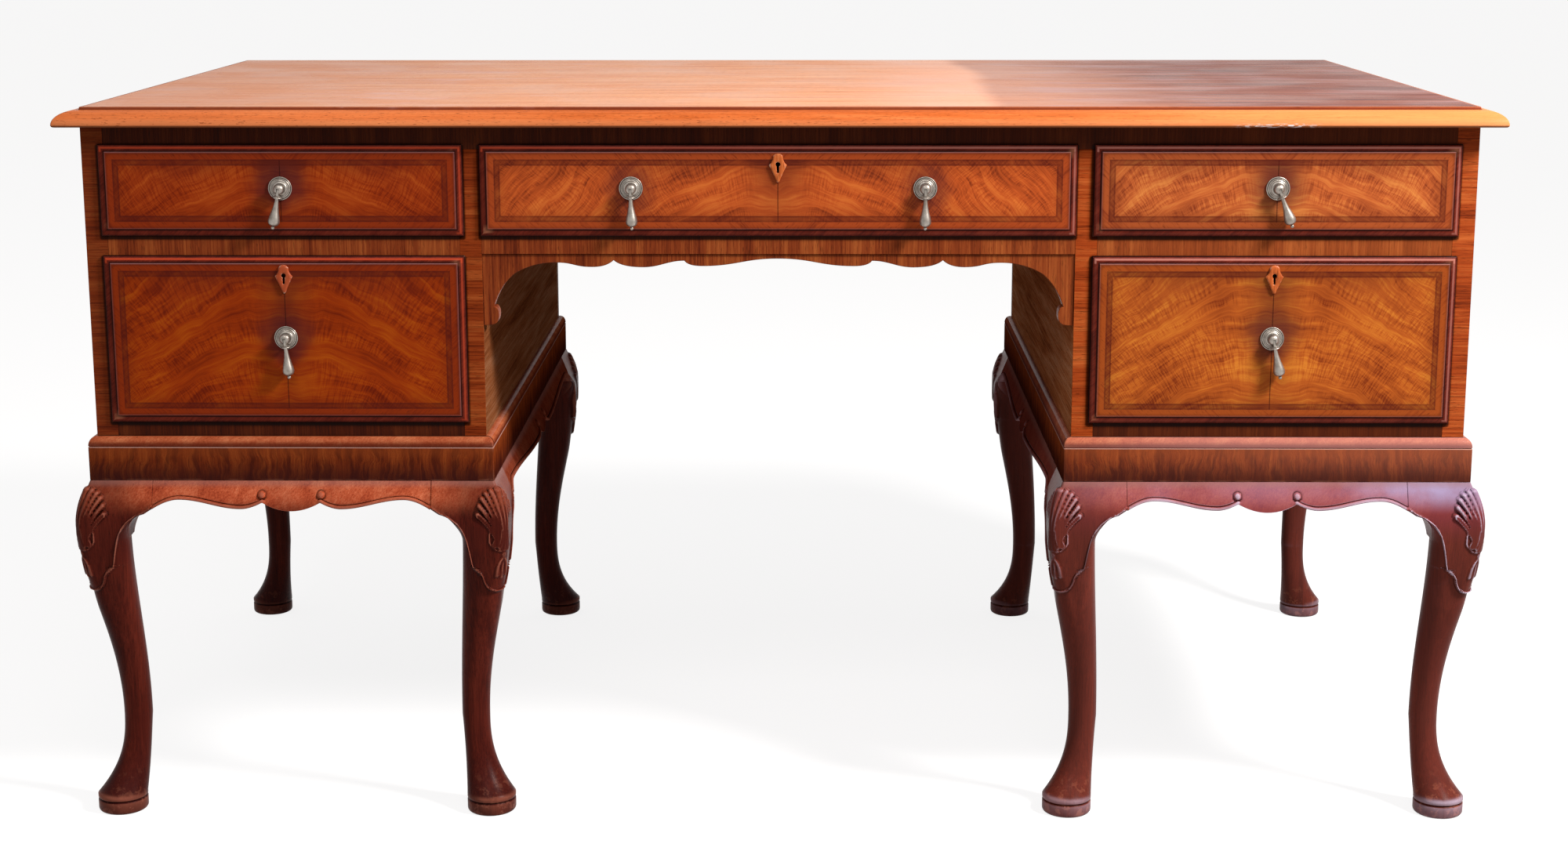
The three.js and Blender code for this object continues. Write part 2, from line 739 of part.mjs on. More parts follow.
// Pull rosette: a domed plate with a raised rim, and a round knob slotted from below for the drop
function rosette() {
  const rimInside = rosetteRadius - rosetteRimWidth;
  const domeFootShare = 0.7;
  const knobFootShare = 0.95;
  const knobRootShare = 0.8;
  const pinLengthShare = 0.7;
  const domeFoot = rosetteRim * domeFootShare;
  const profile = [
    [0, 0],
    [rosetteRadius, 0],
    [rosetteRadius, domeFoot],
    [rosetteRadius - rosetteRimWidth / 2, rosetteRim],
    [rimInside, domeFoot],
  ];
  for (const degrees of [25, 45]) {
    const turn = THREE.MathUtils.degToRad(degrees);
    profile.push([rimInside * Math.cos(turn), mix(domeFoot, domeHeight, Math.sin(turn))]);
  }
  profile.push([knobRadius, domeHeight * knobFootShare], [knobNeck, domeHeight * knobRootShare]);
  for (const degrees of [-42, -12, 18, 45, 70]) {
    const turn = THREE.MathUtils.degToRad(degrees);
    profile.push([knobRadius * Math.cos(turn), knobReach + knobHalfDepth * Math.sin(turn)]);
  }
  profile.push([0, knobReach + knobHalfDepth]);
  const body = new THREE.LatheGeometry(
    profile.map(([out, up]) => new THREE.Vector2(out, up)),
    18,
  ).rotateX(Math.PI);

  // the slot follows the round end of the drop's tongue, and opens below and to the front as far as it swings
  const slotRadius = tongueRadius + slotClearance;
  const reach = knobReach + knobHalfDepth + overrun;
  const swing = THREE.MathUtils.degToRad(dropSwing);
  const rounded = (turn) => [slotRadius * Math.cos(turn) - knobReach, slotRadius * Math.sin(turn) - pinDrop];
  const [roofY, roofZ] = rounded(Math.PI - swing);
  const slot = [[-reach * 2, -reach * 2], [roofY - reach * Math.sin(swing), roofZ - reach * Math.cos(swing)]];
  const arcShares = [1, 0.8, 0.6, 0.4, 0.2, 0];
  for (const share of arcShares) slot.push(rounded((Math.PI - swing) * share));
  slot.push([-knobReach + slotRadius, -reach * 2]);
  const slotted = cut(body, barYZ(slot, -slotWidth / 2, slotWidth / 2));
  const pin = new THREE.CylinderGeometry(pinRadius, pinRadius, knobRadius * 2 * pinLengthShare, 16);
  pin.rotateZ(Math.PI / 2).translate(0, -knobReach, -pinDrop);
  return joined(slotted, pin);
}

// Pull drop: a flat tongue with an eye for the pin, a flared bell and a tear that ends in a small ball.
// Its origin is the middle of the pin.
function pullDropShape() {
  const bellFoot = -bellDrop - bellHeight;
  const ballMiddle = -dropLength + dropBall;
  // Shares of the bell's radius and height, of the tear's length and radius, and of the ball's radius
  const bellShares = [[0.5, 0.35], [1, 0.85]];
  const tearShares = [[0.3, 0.45], [0.55, 0.72], [0.75, 0.96], [0.85, 1], [0.93, 0.85], [0.985, 0.45]];
  const ballTopShares = [0.6, 0.8];
  const ballSideShare = 0.7;
  const tearEnd = ballMiddle + dropBall * ballTopShares[1];
  const profile = [
    [0, -bellDrop],
    [tongueWidth / 2, -bellDrop],
    ...bellShares.map(([out, down]) => [bellRadius * out, -bellDrop - bellHeight * down]),
    [bellRadius, bellFoot],
    [dropNeck, bellFoot],
    ...tearShares.map(([down, out]) => [dropRadius * out, mix(bellFoot, tearEnd, down)]),
    [dropBall * ballTopShares[0], tearEnd],
    [dropBall, ballMiddle],
    [dropBall * ballSideShare, ballMiddle - dropBall * ballSideShare],
    [0, ballMiddle - dropBall],
  ];
  const tear = new THREE.LatheGeometry(
    profile.reverse().map(([out, up]) => new THREE.Vector2(out, up)),
    14,
  ).rotateX(Math.PI / 2);
  const outline = new THREE.Shape();
  outline.moveTo(-tongueRadius, -bellDrop - bellHeight / 3);
  outline.lineTo(tongueRadius, -bellDrop - bellHeight / 3);
  outline.lineTo(tongueRadius, 0);
  outline.absarc(0, 0, tongueRadius, 0, Math.PI, false);
  outline.closePath();
  const eye = new THREE.Path();
  eye.absarc(0, 0, pinRadius + pinClearance, 0, Math.PI * 2, false);
  outline.holes.push(eye);
  const tongue = new THREE.ExtrudeGeometry(outline, {
    depth: tongueWidth,
    bevelEnabled: false,
    curveSegments: 10,
  });
  // the tongue's flat outline turns to face along X
  tongue.rotateX(Math.PI / 2).rotateZ(Math.PI / 2).translate(-tongueWidth / 2, 0, 0);
  return joined(tear, tongue);
}

// Assembly of the carcass
place("top_board", topBoard(), woods.top);
place("top_rail", topRail(), woods.carcass);
place("back_panel", backPanel(), woods.side);
place("kneehole_apron", kneeholeApron(), woods.carcass);
place("centre_drawer_divider", divider(-kneeholeX, kneeholeX, kneeholeTop), woods.carcass);

const outerSideGeometry = outerSide();
const innerSideGeometry = innerSide();
const baseFrameGeometry = baseFrame();
const legGeometry = leg();
const endApronGeometry = standApron(pedestalHalf - bracketEnd - seat);
const sideApronGeometry = standApron(carcassY - bracketEnd - seat);

for (const [side, sign] of [["left", -1], ["right", 1]]) {
  place(`${side}_outer_side`, outerSideGeometry, woods.side).scale.x = sign;
  place(`${side}_inner_side`, innerSideGeometry, woods.side).scale.x = sign;
  const span = [innerSideFace, outerSideFace].map((x) => sign * x).sort((a, b) => a - b);
  place(`${side}_drawer_divider`, divider(...span, lowerTop), woods.carcass);
  place(`${side}_pedestal_bottom`, pedestalBottom(...span), woods.carcass);

  const stand = new THREE.Group();
  stand.position.x = sign * pedestalX;
  desk.add(stand);
  place(`${side}_base_frame`, baseFrameGeometry, woods.carcass, stand);
  for (const [end, y] of [["front", -1], ["back", 1]]) {
    for (const [flank, x] of [["outer", sign], ["inner", -sign]]) {
      const corner = place(`${side}_${end}_${flank}_leg`, legGeometry, woods.stand, stand);
      corner.position.set(x * pedestalHalf, y * carcassY, 0);
      corner.scale.set(-x, -y, 1);
    }
    const apron = place(`${side}_${end}_apron`, endApronGeometry, woods.stand, stand);
    apron.position.y = y * carcassY;
    apron.rotation.z = y < 0 ? 0 : Math.PI;
  }
  for (const [flank, x] of [["outer", sign], ["inner", -sign]]) {
    const apron = place(`${side}_${flank}_apron`, sideApronGeometry, woods.stand, stand);
    apron.position.x = x * pedestalHalf;
    apron.rotation.z = (x * Math.PI) / 2;
  }
}

// Drawers. A pull's sway is how far its drop hangs off the plumb line, in degrees
const upper = { z0: upperBottom, z1: upperTop };
const lower = { z0: lowerBottom, z1: lowerTop };
const centreOpening = kneeholeX - guideThickness;
const drawers = [
  {
    name: "left_upper",
    opening: { x0: -outerSideFace, x1: -innerSideFace, ...upper },
    pulls: [{ x: -pedestalX, drop: pullDrop, sway: -10.5 }],
  },
  {
    name: "left_lower",
    opening: { x0: -outerSideFace, x1: -innerSideFace, ...lower },
    pulls: [{ x: -pedestalX, drop: lowerPullDrop, sway: 4.5 }],
    locked: true,
  },
  {
    name: "centre",
    opening: { x0: -centreOpening, x1: centreOpening, ...upper },
    pulls: [
      { name: "centre_left", x: -centrePullSpread, drop: pullDrop, sway: 1.5 },
      { name: "centre_right", x: centrePullSpread, drop: pullDrop, sway: 0 },
    ],
    locked: true,
  },
  {
    name: "right_upper",
    opening: { x0: innerSideFace, x1: outerSideFace, ...upper },
    pulls: [{ x: pedestalX, drop: pullDrop, sway: 21 }],
  },
  {
    name: "right_lower",
    opening: { x0: innerSideFace, x1: outerSideFace, ...lower },
    pulls: [{ x: pedestalX, drop: lowerPullDrop, sway: 12 }],
    locked: true,
  },
];

const rosetteGeometry = rosette();
const dropGeometry = pullDropShape();

for (const { name, opening, pulls, locked } of drawers) {
  const middle = (opening.x0 + opening.x1) / 2;
  const lipTop = opening.z1 + lipOverlap;
  const frontTop = opening.z1 - drawerTopClearance;
  let face = drawerFront(opening);
  if (locked) {
    const keyZ = lipTop - keyholeDrop;
    const bore = keyholeTool(middle, keyZ, drawerFace - overrun, front + frontRebate + overrun);
    face = cut(face, bore, lockMortise(middle, frontTop));
    place(`${name}_escutcheon`, keyholeShield(middle, keyZ), woods.shield);
    place(`${name}_lock`, lockCase(middle, keyZ, frontTop), metals.lock);
  }
  place(`${name}_drawer_front`, face, woods.drawer);
  place(`${name}_drawer_box`, drawerBox(opening), woods.lining);
  for (const pull of pulls) {
    const label = pull.name ?? name;
    const group = new THREE.Group();
    group.position.set(pull.x, drawerFace - seat, lipTop - pull.drop);
    // the whole pull is turned in its hole, and its drop leans with it
    group.rotation.y = -THREE.MathUtils.degToRad(pull.sway);
    desk.add(group);
    place(`${label}_pull_rosette`, rosetteGeometry, metals.pull, group);
    place(`${label}_pull_drop`, dropGeometry, metals.pull, group).position.set(0, -knobReach, -pinDrop);
  }
}

export default desk;
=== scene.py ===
"""A walnut kneehole desk on two stands with cabriole legs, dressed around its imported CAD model"""
import math
import bmesh
import bpy
from mathutils import Matrix, Vector

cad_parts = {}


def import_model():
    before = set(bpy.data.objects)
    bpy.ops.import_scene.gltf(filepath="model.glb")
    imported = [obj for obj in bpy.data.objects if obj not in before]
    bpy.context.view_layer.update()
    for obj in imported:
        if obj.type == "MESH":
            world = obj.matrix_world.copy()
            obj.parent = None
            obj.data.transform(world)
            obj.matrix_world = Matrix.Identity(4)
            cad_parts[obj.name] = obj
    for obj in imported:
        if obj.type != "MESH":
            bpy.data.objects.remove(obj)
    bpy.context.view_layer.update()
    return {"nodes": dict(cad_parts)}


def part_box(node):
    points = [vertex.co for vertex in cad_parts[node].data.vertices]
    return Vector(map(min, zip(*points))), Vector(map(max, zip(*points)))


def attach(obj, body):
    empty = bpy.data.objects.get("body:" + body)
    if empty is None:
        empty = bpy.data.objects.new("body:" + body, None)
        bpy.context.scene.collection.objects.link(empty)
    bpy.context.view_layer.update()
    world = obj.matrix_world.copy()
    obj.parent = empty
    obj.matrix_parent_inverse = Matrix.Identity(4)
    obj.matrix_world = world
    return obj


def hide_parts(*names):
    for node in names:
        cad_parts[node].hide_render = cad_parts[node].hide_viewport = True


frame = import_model()

# Lengths below are in millimetres, and MM turns them into the frame's metres
MM = 0.001


def box(node):
    """A node's lowest and highest corner in millimetres"""
    low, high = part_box(node)
    return [v / MM for v in low], [v / MM for v in high]


# Places that come from the frame
TOP_LOW, TOP_HIGH = box("top_board")
SIDE_LOW, SIDE_HIGH = box("right_outer_side")
BASE_LOW, BASE_HIGH = box("right_base_frame")
APRON_LOW, APRON_HIGH = box("kneehole_apron")
CARCASS_X = SIDE_HIGH[0]
CARCASS_Y = SIDE_HIGH[1]
FRONT = -CARCASS_Y
STAND_TOP = BASE_LOW[2]
CARCASS_BOTTOM = SIDE_LOW[2]
BASE_REACH = BASE_HIGH[1] - CARCASS_Y
PEDESTAL_X = (BASE_LOW[0] + BASE_HIGH[0]) / 2
PEDESTAL_HALF = BASE_HIGH[0] - BASE_REACH - PEDESTAL_X
SEAT = 0.3
SIDES = (("left", -1), ("right", 1))

# Top edge: a fillet and an ovolo that falls to a thin lip
TOP_EDGE_WIDTH = 24
TOP_STEP_HEIGHT = 3
TOP_STEP_WIDTH = 2
TOP_LIP_DROP = 17.5
TOP_UNDERCUT = 1.5
TOP_LIP_Z = TOP_HIGH[2] - TOP_LIP_DROP

# Base frame moulding
BASE_OVOLO = 10
BASE_QUIRK = 1
BASE_FRAME_WIDTH = 34
OVOLO_Z = CARCASS_BOTTOM - BASE_OVOLO

# Drawer fronts
DRAWERS = ("left_upper", "left_lower", "centre", "right_upper", "right_lower")
LOCKED = ("left_lower", "centre", "right_lower")
LIP_OVERLAP = 5.5
LIP_FLAT = 1.4
LIP_OVOLO = 7.5
LIP_STEP = 1.2
LIP_STEP_WIDTH = 0.5
INLAY_INSET = 15.5
INLAY_WIDTH = 7.5
RING_BEND = 0.0024
KEY_DROP = 21
KEY_RADIUS = 2.5
KEY_SLOT_WIDTH = 2.2
KEY_SLOT_LENGTH = 9
SHIELD_ABOVE = 11.5

# Stands
KNEE_LIMIT = TOP_HIGH[0] - CARCASS_X
KNEE_REACH = 23
KNEE_BACK = 28.5
POST_WIDTH = 50
ANKLE_INSET = 6.5
ANKLE_WIDTH = 30.8
FOOT_RADIUS = 27
FOOT_INSET = 4.6
TOE_HEIGHT = 20
PAD_HEIGHT = 14
PAD_GROOVE = 1.5
PAD_ROUNDING = 4
KNEE_Z = STAND_TOP * 0.86
ANKLE_Z = STAND_TOP * 0.28
BRACKET_REACH = 89
BRACKET_TIP_Z = STAND_TOP - 75
BRACKET_END = 60
BRACKET_THICKNESS = 20
BRACKET_TIP_IN = 28
EAR_IN = 50
EAR_Z = STAND_TOP - 36
CREST_Z = STAND_TOP - 19.8
DIP_Z = STAND_TOP - 29.4
CUSP_Z = STAND_TOP - 22.7
LOBE_Z = STAND_TOP - 31.6
CUSP_AT = 31.5
DIP_AT = 54
BEAD_HEIGHT = 4
BEAD_PROUD = 1.6
STAND_APRON_INSIDE = 14
NODULE_AT = CUSP_AT + 0.6
NODULE_Z = CUSP_Z + 8
NODULE_RADIUS = 3.9
NODULE_PROUD = 3
GROOVE = 1.3

# Pulls. A rosette's axis is Z until it is turned to face the front
PLATE_RADIUS = 12.6
PLATE_RIM = 1.5
RIM_WIDTH = 1.3
DOME = 3.7
KNOB_REACH = 8.5
KNOB_RADIUS = 5.6
KNOB_HALF = 4.2
KNOB_NECK = 4.2
PIN_DROP = 1
PIN_RADIUS = 1
PIN_PLAY = 0.3
SLOT_WIDTH = 3
TONGUE_RADIUS = 2.3
TONGUE_WIDTH = 2.4
SLOT_RADIUS = TONGUE_RADIUS + 0.3
DROP_SWING = math.radians(75)
BELL_DROP = 5.1
BELL_HEIGHT = 3.2
BELL_RADIUS = 5.4
DROP_RADIUS = 6.2
DROP_LENGTH = 42.6
DROP_BALL = 2

# Each pull's drawer, and how many degrees it hangs askew in the photograph
PULLS = {
    "left_upper": ("left_upper", -10.5),
    "left_lower": ("left_lower", 4.5),
    "centre_left": ("centre", 1.5),
    "centre_right": ("centre", 0.0),
    "right_upper": ("right_upper", 21.0),
    "right_lower": ("right_lower", 12.0),
}


def mix(a, b, t):
    return a + (b - a) * t


def ease(t):
    held = min(1.0, max(0.0, t))
    return (1 - math.cos(math.pi * held)) / 2


def rgb(code):
    """A colour as it is seen, such as "8a4a20", in the linear values that shaders work in"""
    values = [int(code[k:k + 2], 16) / 255 for k in (0, 2, 4)]
    return tuple(v / 12.92 if v <= 0.04045 else ((v + 0.055) / 1.055) ** 2.4 for v in values) + (1.0,)


# Nodes of materials and of the world
def operator(kind, turned=False):
    """A method that makes a maths node, with its two sides in the order in which they are written"""
    def work(self, other):
        return self.nodes.maths(kind, *((other, self) if turned else (self, other)))
    return work


class Value:
    """What comes out of a node. Its sums and masks are nodes too"""

    __add__, __radd__ = operator("ADD"), operator("ADD", True)
    __sub__, __rsub__ = operator("SUBTRACT"), operator("SUBTRACT", True)
    __mul__, __rmul__ = operator("MULTIPLY"), operator("MULTIPLY", True)
    larger, smaller = operator("MAXIMUM"), operator("MINIMUM")

    def __init__(self, nodes, socket):
        self.nodes = nodes
        self.socket = socket

    def __abs__(self):
        return self.nodes.maths("ABSOLUTE", self)

    def root(self):
        return self.nodes.maths("SQRT", self)

    def exponent(self):
        return self.nodes.maths("EXPONENT", self)

    def span(self, low, high, start=0, end=1):
        """From low to high it becomes start to end, held at both ends, with a soft start and stop"""
        limits = (self, low, high, start, end)
        return self.nodes.make("MapRange", limits, interpolation_type="SMOOTHSTEP")

    def under(self, *layers):
        """This colour under layers. Each has how much of it shows, and its colour"""
        result = self
        for amount, colour in layers:
            result = self.nodes.blend(amount, result, colour)
        return result


class Nodes:
    """The nodes of a material or a world, with short calls for the kinds that this scene uses"""

    def __init__(self, owner):
        owner.use_nodes = True
        self.tree = owner.node_tree
        self.tree.nodes.clear()

    def feed(self, socket, value):
        if isinstance(value, Value):
            self.tree.links.new(value.socket, socket)
        else:
            socket.default_value = value

    def make(self, kind, values=(), output=0, **settings):
        """One output of a new node. What goes into the node is given in order, or by name"""
        made = self.tree.nodes.new("ShaderNode" + kind)
        for key, value in settings.items():
            setattr(made, key, value)
        for key, value in values.items() if isinstance(values, dict) else enumerate(values):
            self.feed(made.inputs[key], value)
        return None if output is None else Value(self, made.outputs[output])

    def maths(self, operation, *values):
        return self.make("Math", values, operation=operation)

    def blend(self, amount, first, second):
        """From one colour to another. A colour is a value, or a code such as "8a4a20" """
        first, second = (rgb(c) if isinstance(c, str) else c for c in (first, second))
        return self.make("Mix", {0: amount, 6: first, 7: second}, 2, data_type="RGBA")

    def ramp(self, factor, codes, positions):
        """Three colours at three places along a factor"""
        made = self.make("ValToRGB", (factor,))
        elements = made.socket.node.color_ramp.elements
        elements.new(1.0)
        for element, position, code in zip(elements, positions, codes.split()):
            element.position = position
            element.color = rgb(code)
        return made

    def noise(self, place, scale=1, detail=3, roughness=0.5, distortion=0):
        vector = self.make("CombineXYZ", place)
        values = {"Vector": vector, "Scale": scale, "Detail": detail, "Roughness": roughness}
        return self.make("TexNoise", {**values, "Distortion": distortion})

    def places(self):
        """Where a point is on the object at rest: x, y and z in millimetres"""
        parts = self.make("SeparateXYZ", (self.make("TexCoord", output="Object"),)).socket.node
        return [Value(self, output) * (1 / MM) for output in parts.outputs]

    def edges(self):
        """0.5 on a flat, more on an outer edge and less in a corner"""
        return self.make("NewGeometry", output="Pointiness")

    def seen_by(self, *rays):
        """1 for the kinds of rays that are named"""
        outputs = self.make("LightPath").socket.node.outputs
        seen = Value(self, outputs[rays[0]])
        for ray in rays[1:]:
            seen = seen.larger(Value(self, outputs[ray]))
        return seen


class Shade(Nodes):
    """A material with one shader"""

    def __init__(self, name):
        self.material = bpy.data.materials.new(name)
        super().__init__(self.material)
        surface = self.make("BsdfPrincipled")
        self.make("OutputMaterial", {"Surface": surface}, None)
        self.inputs = surface.socket.node.inputs

    def finish(self, colour, roughness, specular, height, depth, metallic=0):
        """Sets the shader. The bump's height from 0 to 1 stands for depth in millimetres"""
        bump = self.make("Bump", {"Strength": 1, "Distance": depth * MM, "Height": height})
        values = {"Base Color": colour, "Roughness": roughness, "Metallic": metallic, "Normal": bump}
        for key, value in {**values, "Specular IOR Level": specular}.items():
            self.feed(self.inputs[key], value)
        return self.material


# Materials
def grained(s, place, tones, seed):
    """A board's colour, from dark to light tones, and its grain's height. The place is given as the
    distance along the grain and the two across it"""
    along, across, depth = place
    broad = s.noise((along * 0.0035, across * 0.05, depth * 0.05 + seed), 1, 4, 0.55, 0.6)
    fine = s.noise((along * 0.012, across * 0.55, depth * 0.55 + seed), 1, 3, 0.6)
    pores = s.noise((along * 0.1, across * 1.6, depth * 1.6 + seed), 1, 1).span(0.6, 0.72)
    colour = s.ramp(broad * 0.55 + fine * 0.45, tones, (0.3, 0.48, 0.68))
    return colour.under((pores * 0.55, "1c0a05")), fine * 0.6 - pores * 0.6


def worn(s, colour, rubbed, grime, amount, where=1):
    """Rubbed outer edges and darker corners, broken up by noise, only where a mask says so"""
    patches = s.noise(s.places(), 0.045, 3, 0.6)
    point = s.edges()
    high = point.span(0.515, 0.6) * patches.span(0.42, 0.62, 0, amount)
    low = point.span(0.4, 0.485, 0.75, 0)
    return colour.under((high * where, rubbed), (low * where, grime))


def rounded_inside(x, z, low, high, corner):
    """How far inside a rounded rectangle a point is, in millimetres"""
    half_x = (high[0] - low[0]) / 2
    half_z = (high[2] - low[2]) / 2
    out_x = abs(x - (high[0] + low[0]) / 2) - (half_x - corner)
    out_z = abs(z - (high[2] + low[2]) / 2) - (half_z - corner)
    over_x, over_z = out_x.larger(0), out_z.larger(0)
    round_part = (over_x * over_x + over_z * over_z).root()
    return corner - (round_part + out_x.larger(out_z).smaller(0))


def lip_shade(s, x, y, z):
    """A layer of painted shade round the drawers' lips on the carcass front, most below and to their left,
    where their shadows fall
    """
    nearest_lip = -1e3
    for drawer in DRAWERS:
        low, high = box(drawer + "_drawer_front")
        nearest_lip = s.maths("MAXIMUM", nearest_lip, rounded_inside(x + 0.8, z + 2.2, low, high, 1))
    return nearest_lip.span(-3, -0.6, 0, 0.85) * y.span(FRONT + 2.5, FRONT + 1.5), "0e0403"


def top_material():
    """The writing surface: salmon brown streaks, an edge band, a bright orange moulding, a hazy patch of
    duller finish with painted glare, and painted reflections
    """
    s = Shade("walnut_top")
    x, y, z = s.places()
    colour, height = grained(s, (x, y, z), "c87448 e89866 f4b080", 2)
    redder, _ = grained(s, (x, y, z), "4c1a12 82402e ae6a4c", 2)
    cross, _ = grained(s, (x, y, z), "7e3a22 a65a38 bb7048", 9)
    along, _ = grained(s, (x, z, y), "a44a1c c6622e da7e48", 5)
    # the tone turns redder across a soft line that wanders, partly the wood's own tone and partly painted
    # reflection
    drift = x + s.noise((x * 0.3, y * 0.5, z), 0.006, 2) * 70
    share = drift.span(255, 285, 0, 0.5) + drift.span(285, 520, 0, 0.48)
    smears_and_reflections = s.noise((x * 0.004, y * 0.02, 11), 1, 4, 0.65)
    inset = (TOP_HIGH[0] - TOP_EDGE_WIDTH - abs(x)).smaller(TOP_HIGH[1] - TOP_EDGE_WIDTH - abs(y))
    # a hazy patch of duller finish on the left, whose pale colour is painted glare
    glare_and_haze = s.noise((x * 0.006, y * 0.012, 0), 1, 5, 0.65).span(0.5, 0.68)
    glare_and_haze = glare_and_haze * (x.span(-620, -480) * x.span(-120, -300)) * 0.5
    marks = s.noise((x, y, 0), 0.012).span(0.5, 0.62)
    scratches = s.noise((x * 0.02, y * 0.9, 3), 1, 2).span(0.69, 0.72) * marks
    specks = s.noise((x * 0.16, y, z), 1, 3, 0.6).span(0.6, 0.68)
    step = inset.span(0.4, -0.4) * inset.span(-2.6, -1.9)
    chipped = s.noise((x * 0.13, 0, z), 1, 2).span(0.52, 0.56) * z.span(TOP_LIP_Z + 2.2, TOP_LIP_Z + 1.2)
    chipped = chipped * (x.span(470, 500) * x.span(570, 545))
    along = along.under(
        # painted light: the moulding paler towards the right
        (x.span(100, 760, 0, 0.5), "e69a5e"),
        (x.span(-100, -500, 0, 0.35), "f48c54"),
        (z.span(TOP_HIGH[2] - 9, TOP_HIGH[2] - 15, 0, 0.35), "e09060"),
        (specks * x.span(760, -200, 0.1, 0.75), "6a2410"))
    # Paler from the middle, more orange to the left and darker to the right: partly the wood's own tone,
    # partly painted glare and reflection. The lilac smears are painted reflections, the dark ones darker
    # wood
    colour = colour.under(
        (x.span(60, 200) * 0.45, "f0b49c"),
        (share, redder),
        (smears_and_reflections.span(0.5, 0.64, 0, 0.4) * x.span(240, 320), "b48c90"),
        (smears_and_reflections.span(0.46, 0.36, 0, 0.6) * x.span(330, 500), "42100c"),
        (x.span(-250, -700, 0, 0.35), "c06434"),
        (x.span(400, 600, 0, 0.32), "5a1c0e"),
        (inset.span(4, 3.2), cross),
        (glare_and_haze, "e2c6c4"),
        (scratches * 0.5, "f0d2c4"),
        (inset.span(-1.5, -2.5), along),
        (step * 0.8, "6a2616"),
        # painted shade under the lip
        (z.span(TOP_LIP_Z + 0.2, TOP_LIP_Z - 0.6, 0, 0.7), "5c3426"),
        (chipped * y.span(-TOP_HIGH[1] + 20, -TOP_HIGH[1] + 10), "dccfcf"))
    waves = s.noise((x, y, z), 0.009, 2)
    return s.finish(worn(s, colour, "f0a878", "2a0d06", 0.4, inset.span(1.5, 0.5)),
                    glare_and_haze * 0.5 + waves.span(0.3, 0.7, 0.2, 0.3), 0.012, waves * 6 + height * 0.12, 0.25)


def pull_halo(x, z, drawer, clouds):
    """Layers of grime round the rosettes of a drawer"""
    layers = []
    for name, (owner, _) in PULLS.items():
        if owner == drawer:
            low, high = box(name + "_pull_rosette")
            off_x = x - (low[0] + high[0]) / 2
            off_z = z - (high[2] - PLATE_RADIUS)
            away = (off_x * off_x + off_z * off_z).root() + (clouds - 0.5) * 30
            layers.append((away.span(38, 12, 0, 0.55), "3c1820"))
    return layers


def veneer(s, off, u, v, z, tall, seed, tones):
    """Book-matched veneer, at u from its seam and v from its foot: rings that fall away from the seam,
    crossed by ripple. Gives its colour, a layer for the seam, its clouds and rings, and its height"""
    wander = s.noise((u, seed, z), 0.01)
    bent = v + (wander - 0.5) * 60
    # level is the same all along a ring, and sweep is the same all along a ray that crosses the rings
    level = bent + u * u * RING_BEND
    sweep = u * (bent * (-2 * RING_BEND)).exponent()
    rings = s.noise((level * 0.06, sweep * 0.01, seed), 1, 5, 0.62, 0.2)
    clouds = s.noise((u, z, seed), 0.016, 3, 0.55)
    lines = s.noise((level * 0.34, sweep * 0.02, seed + 4), 1, 3, 0.65)
    ripple = s.noise((sweep * 0.72, level * 0.05, seed + 12), 1, 1)
    where = s.noise((level * 0.045, sweep * 0.006, seed + 16), 1, 2)
    dashes = ripple.span(0.42, 0.62) * where.span(0.38, 0.56) * u.span(14, 40)
    slant = s.noise(((u + v) * 0.5, (u - v) * 0.03, seed + 20), 1, 2)
    slant = (slant - 0.5) * u.span(60, 150)
    figure = rings * 0.55 + clouds * 0.45 + (lines - 0.5) * 0.44 + slant * 0.22 - dashes * 0.12
    pores = s.noise((u * 0.9, level * 0.9, seed), 1, 2)
    drifting = u + (clouds - 0.5) * 50
    smoke = drifting.span(46, 0) * v.span(20, tall * 0.8, 0.25, 1)
    upper = level.span(tall * 0.72, tall * 1.05) * drifting.span(190, 40)
    seam = abs(off + (wander - 0.5) * 2).span(0.8, 0.2, 0, 0.75), "2a0c08"
    colour = s.ramp(figure, tones, (0.26, 0.48, 0.74)).under(
        (pores.span(0.6, 0.8, 0, 0.4), "2c0f06"),
        (smoke * 0.62, "3e1614"),
        (upper * 0.42, "5a2018"))
    return colour, seam, clouds, rings, lines * 0.5 + ripple * 0.4


def border_layers(s, u, x, y, z, inside, seed, tones):
    """A drawer front's cross-banded border, and the inlaid band between two strings"""
    dark, middle, _ = tones.split()
    border, _ = grained(s, (u + z, (u - z) * 0.6, y), f"{dark} {middle} {middle}", seed + 3)
    border = border.under((0.4, "6a2212"), (inside.span(12.5, 8.5, 0, 0.45), "3c100a"))
    inlay_end = INLAY_INSET + INLAY_WIDTH
    band = inside.span(INLAY_INSET, INLAY_INSET + 1) * inside.span(inlay_end, inlay_end - 1)
    strings = abs(inside - (INLAY_INSET + INLAY_WIDTH / 2)).span(0.8, 2.6, 0.5, 0.78)
    strings = band * strings * s.noise((x, 0, z), 0.05).span(0.25, 0.6, 0.6, 1)
    return (inside.span(INLAY_INSET + 1, INLAY_INSET), border), (strings, "4c1510")


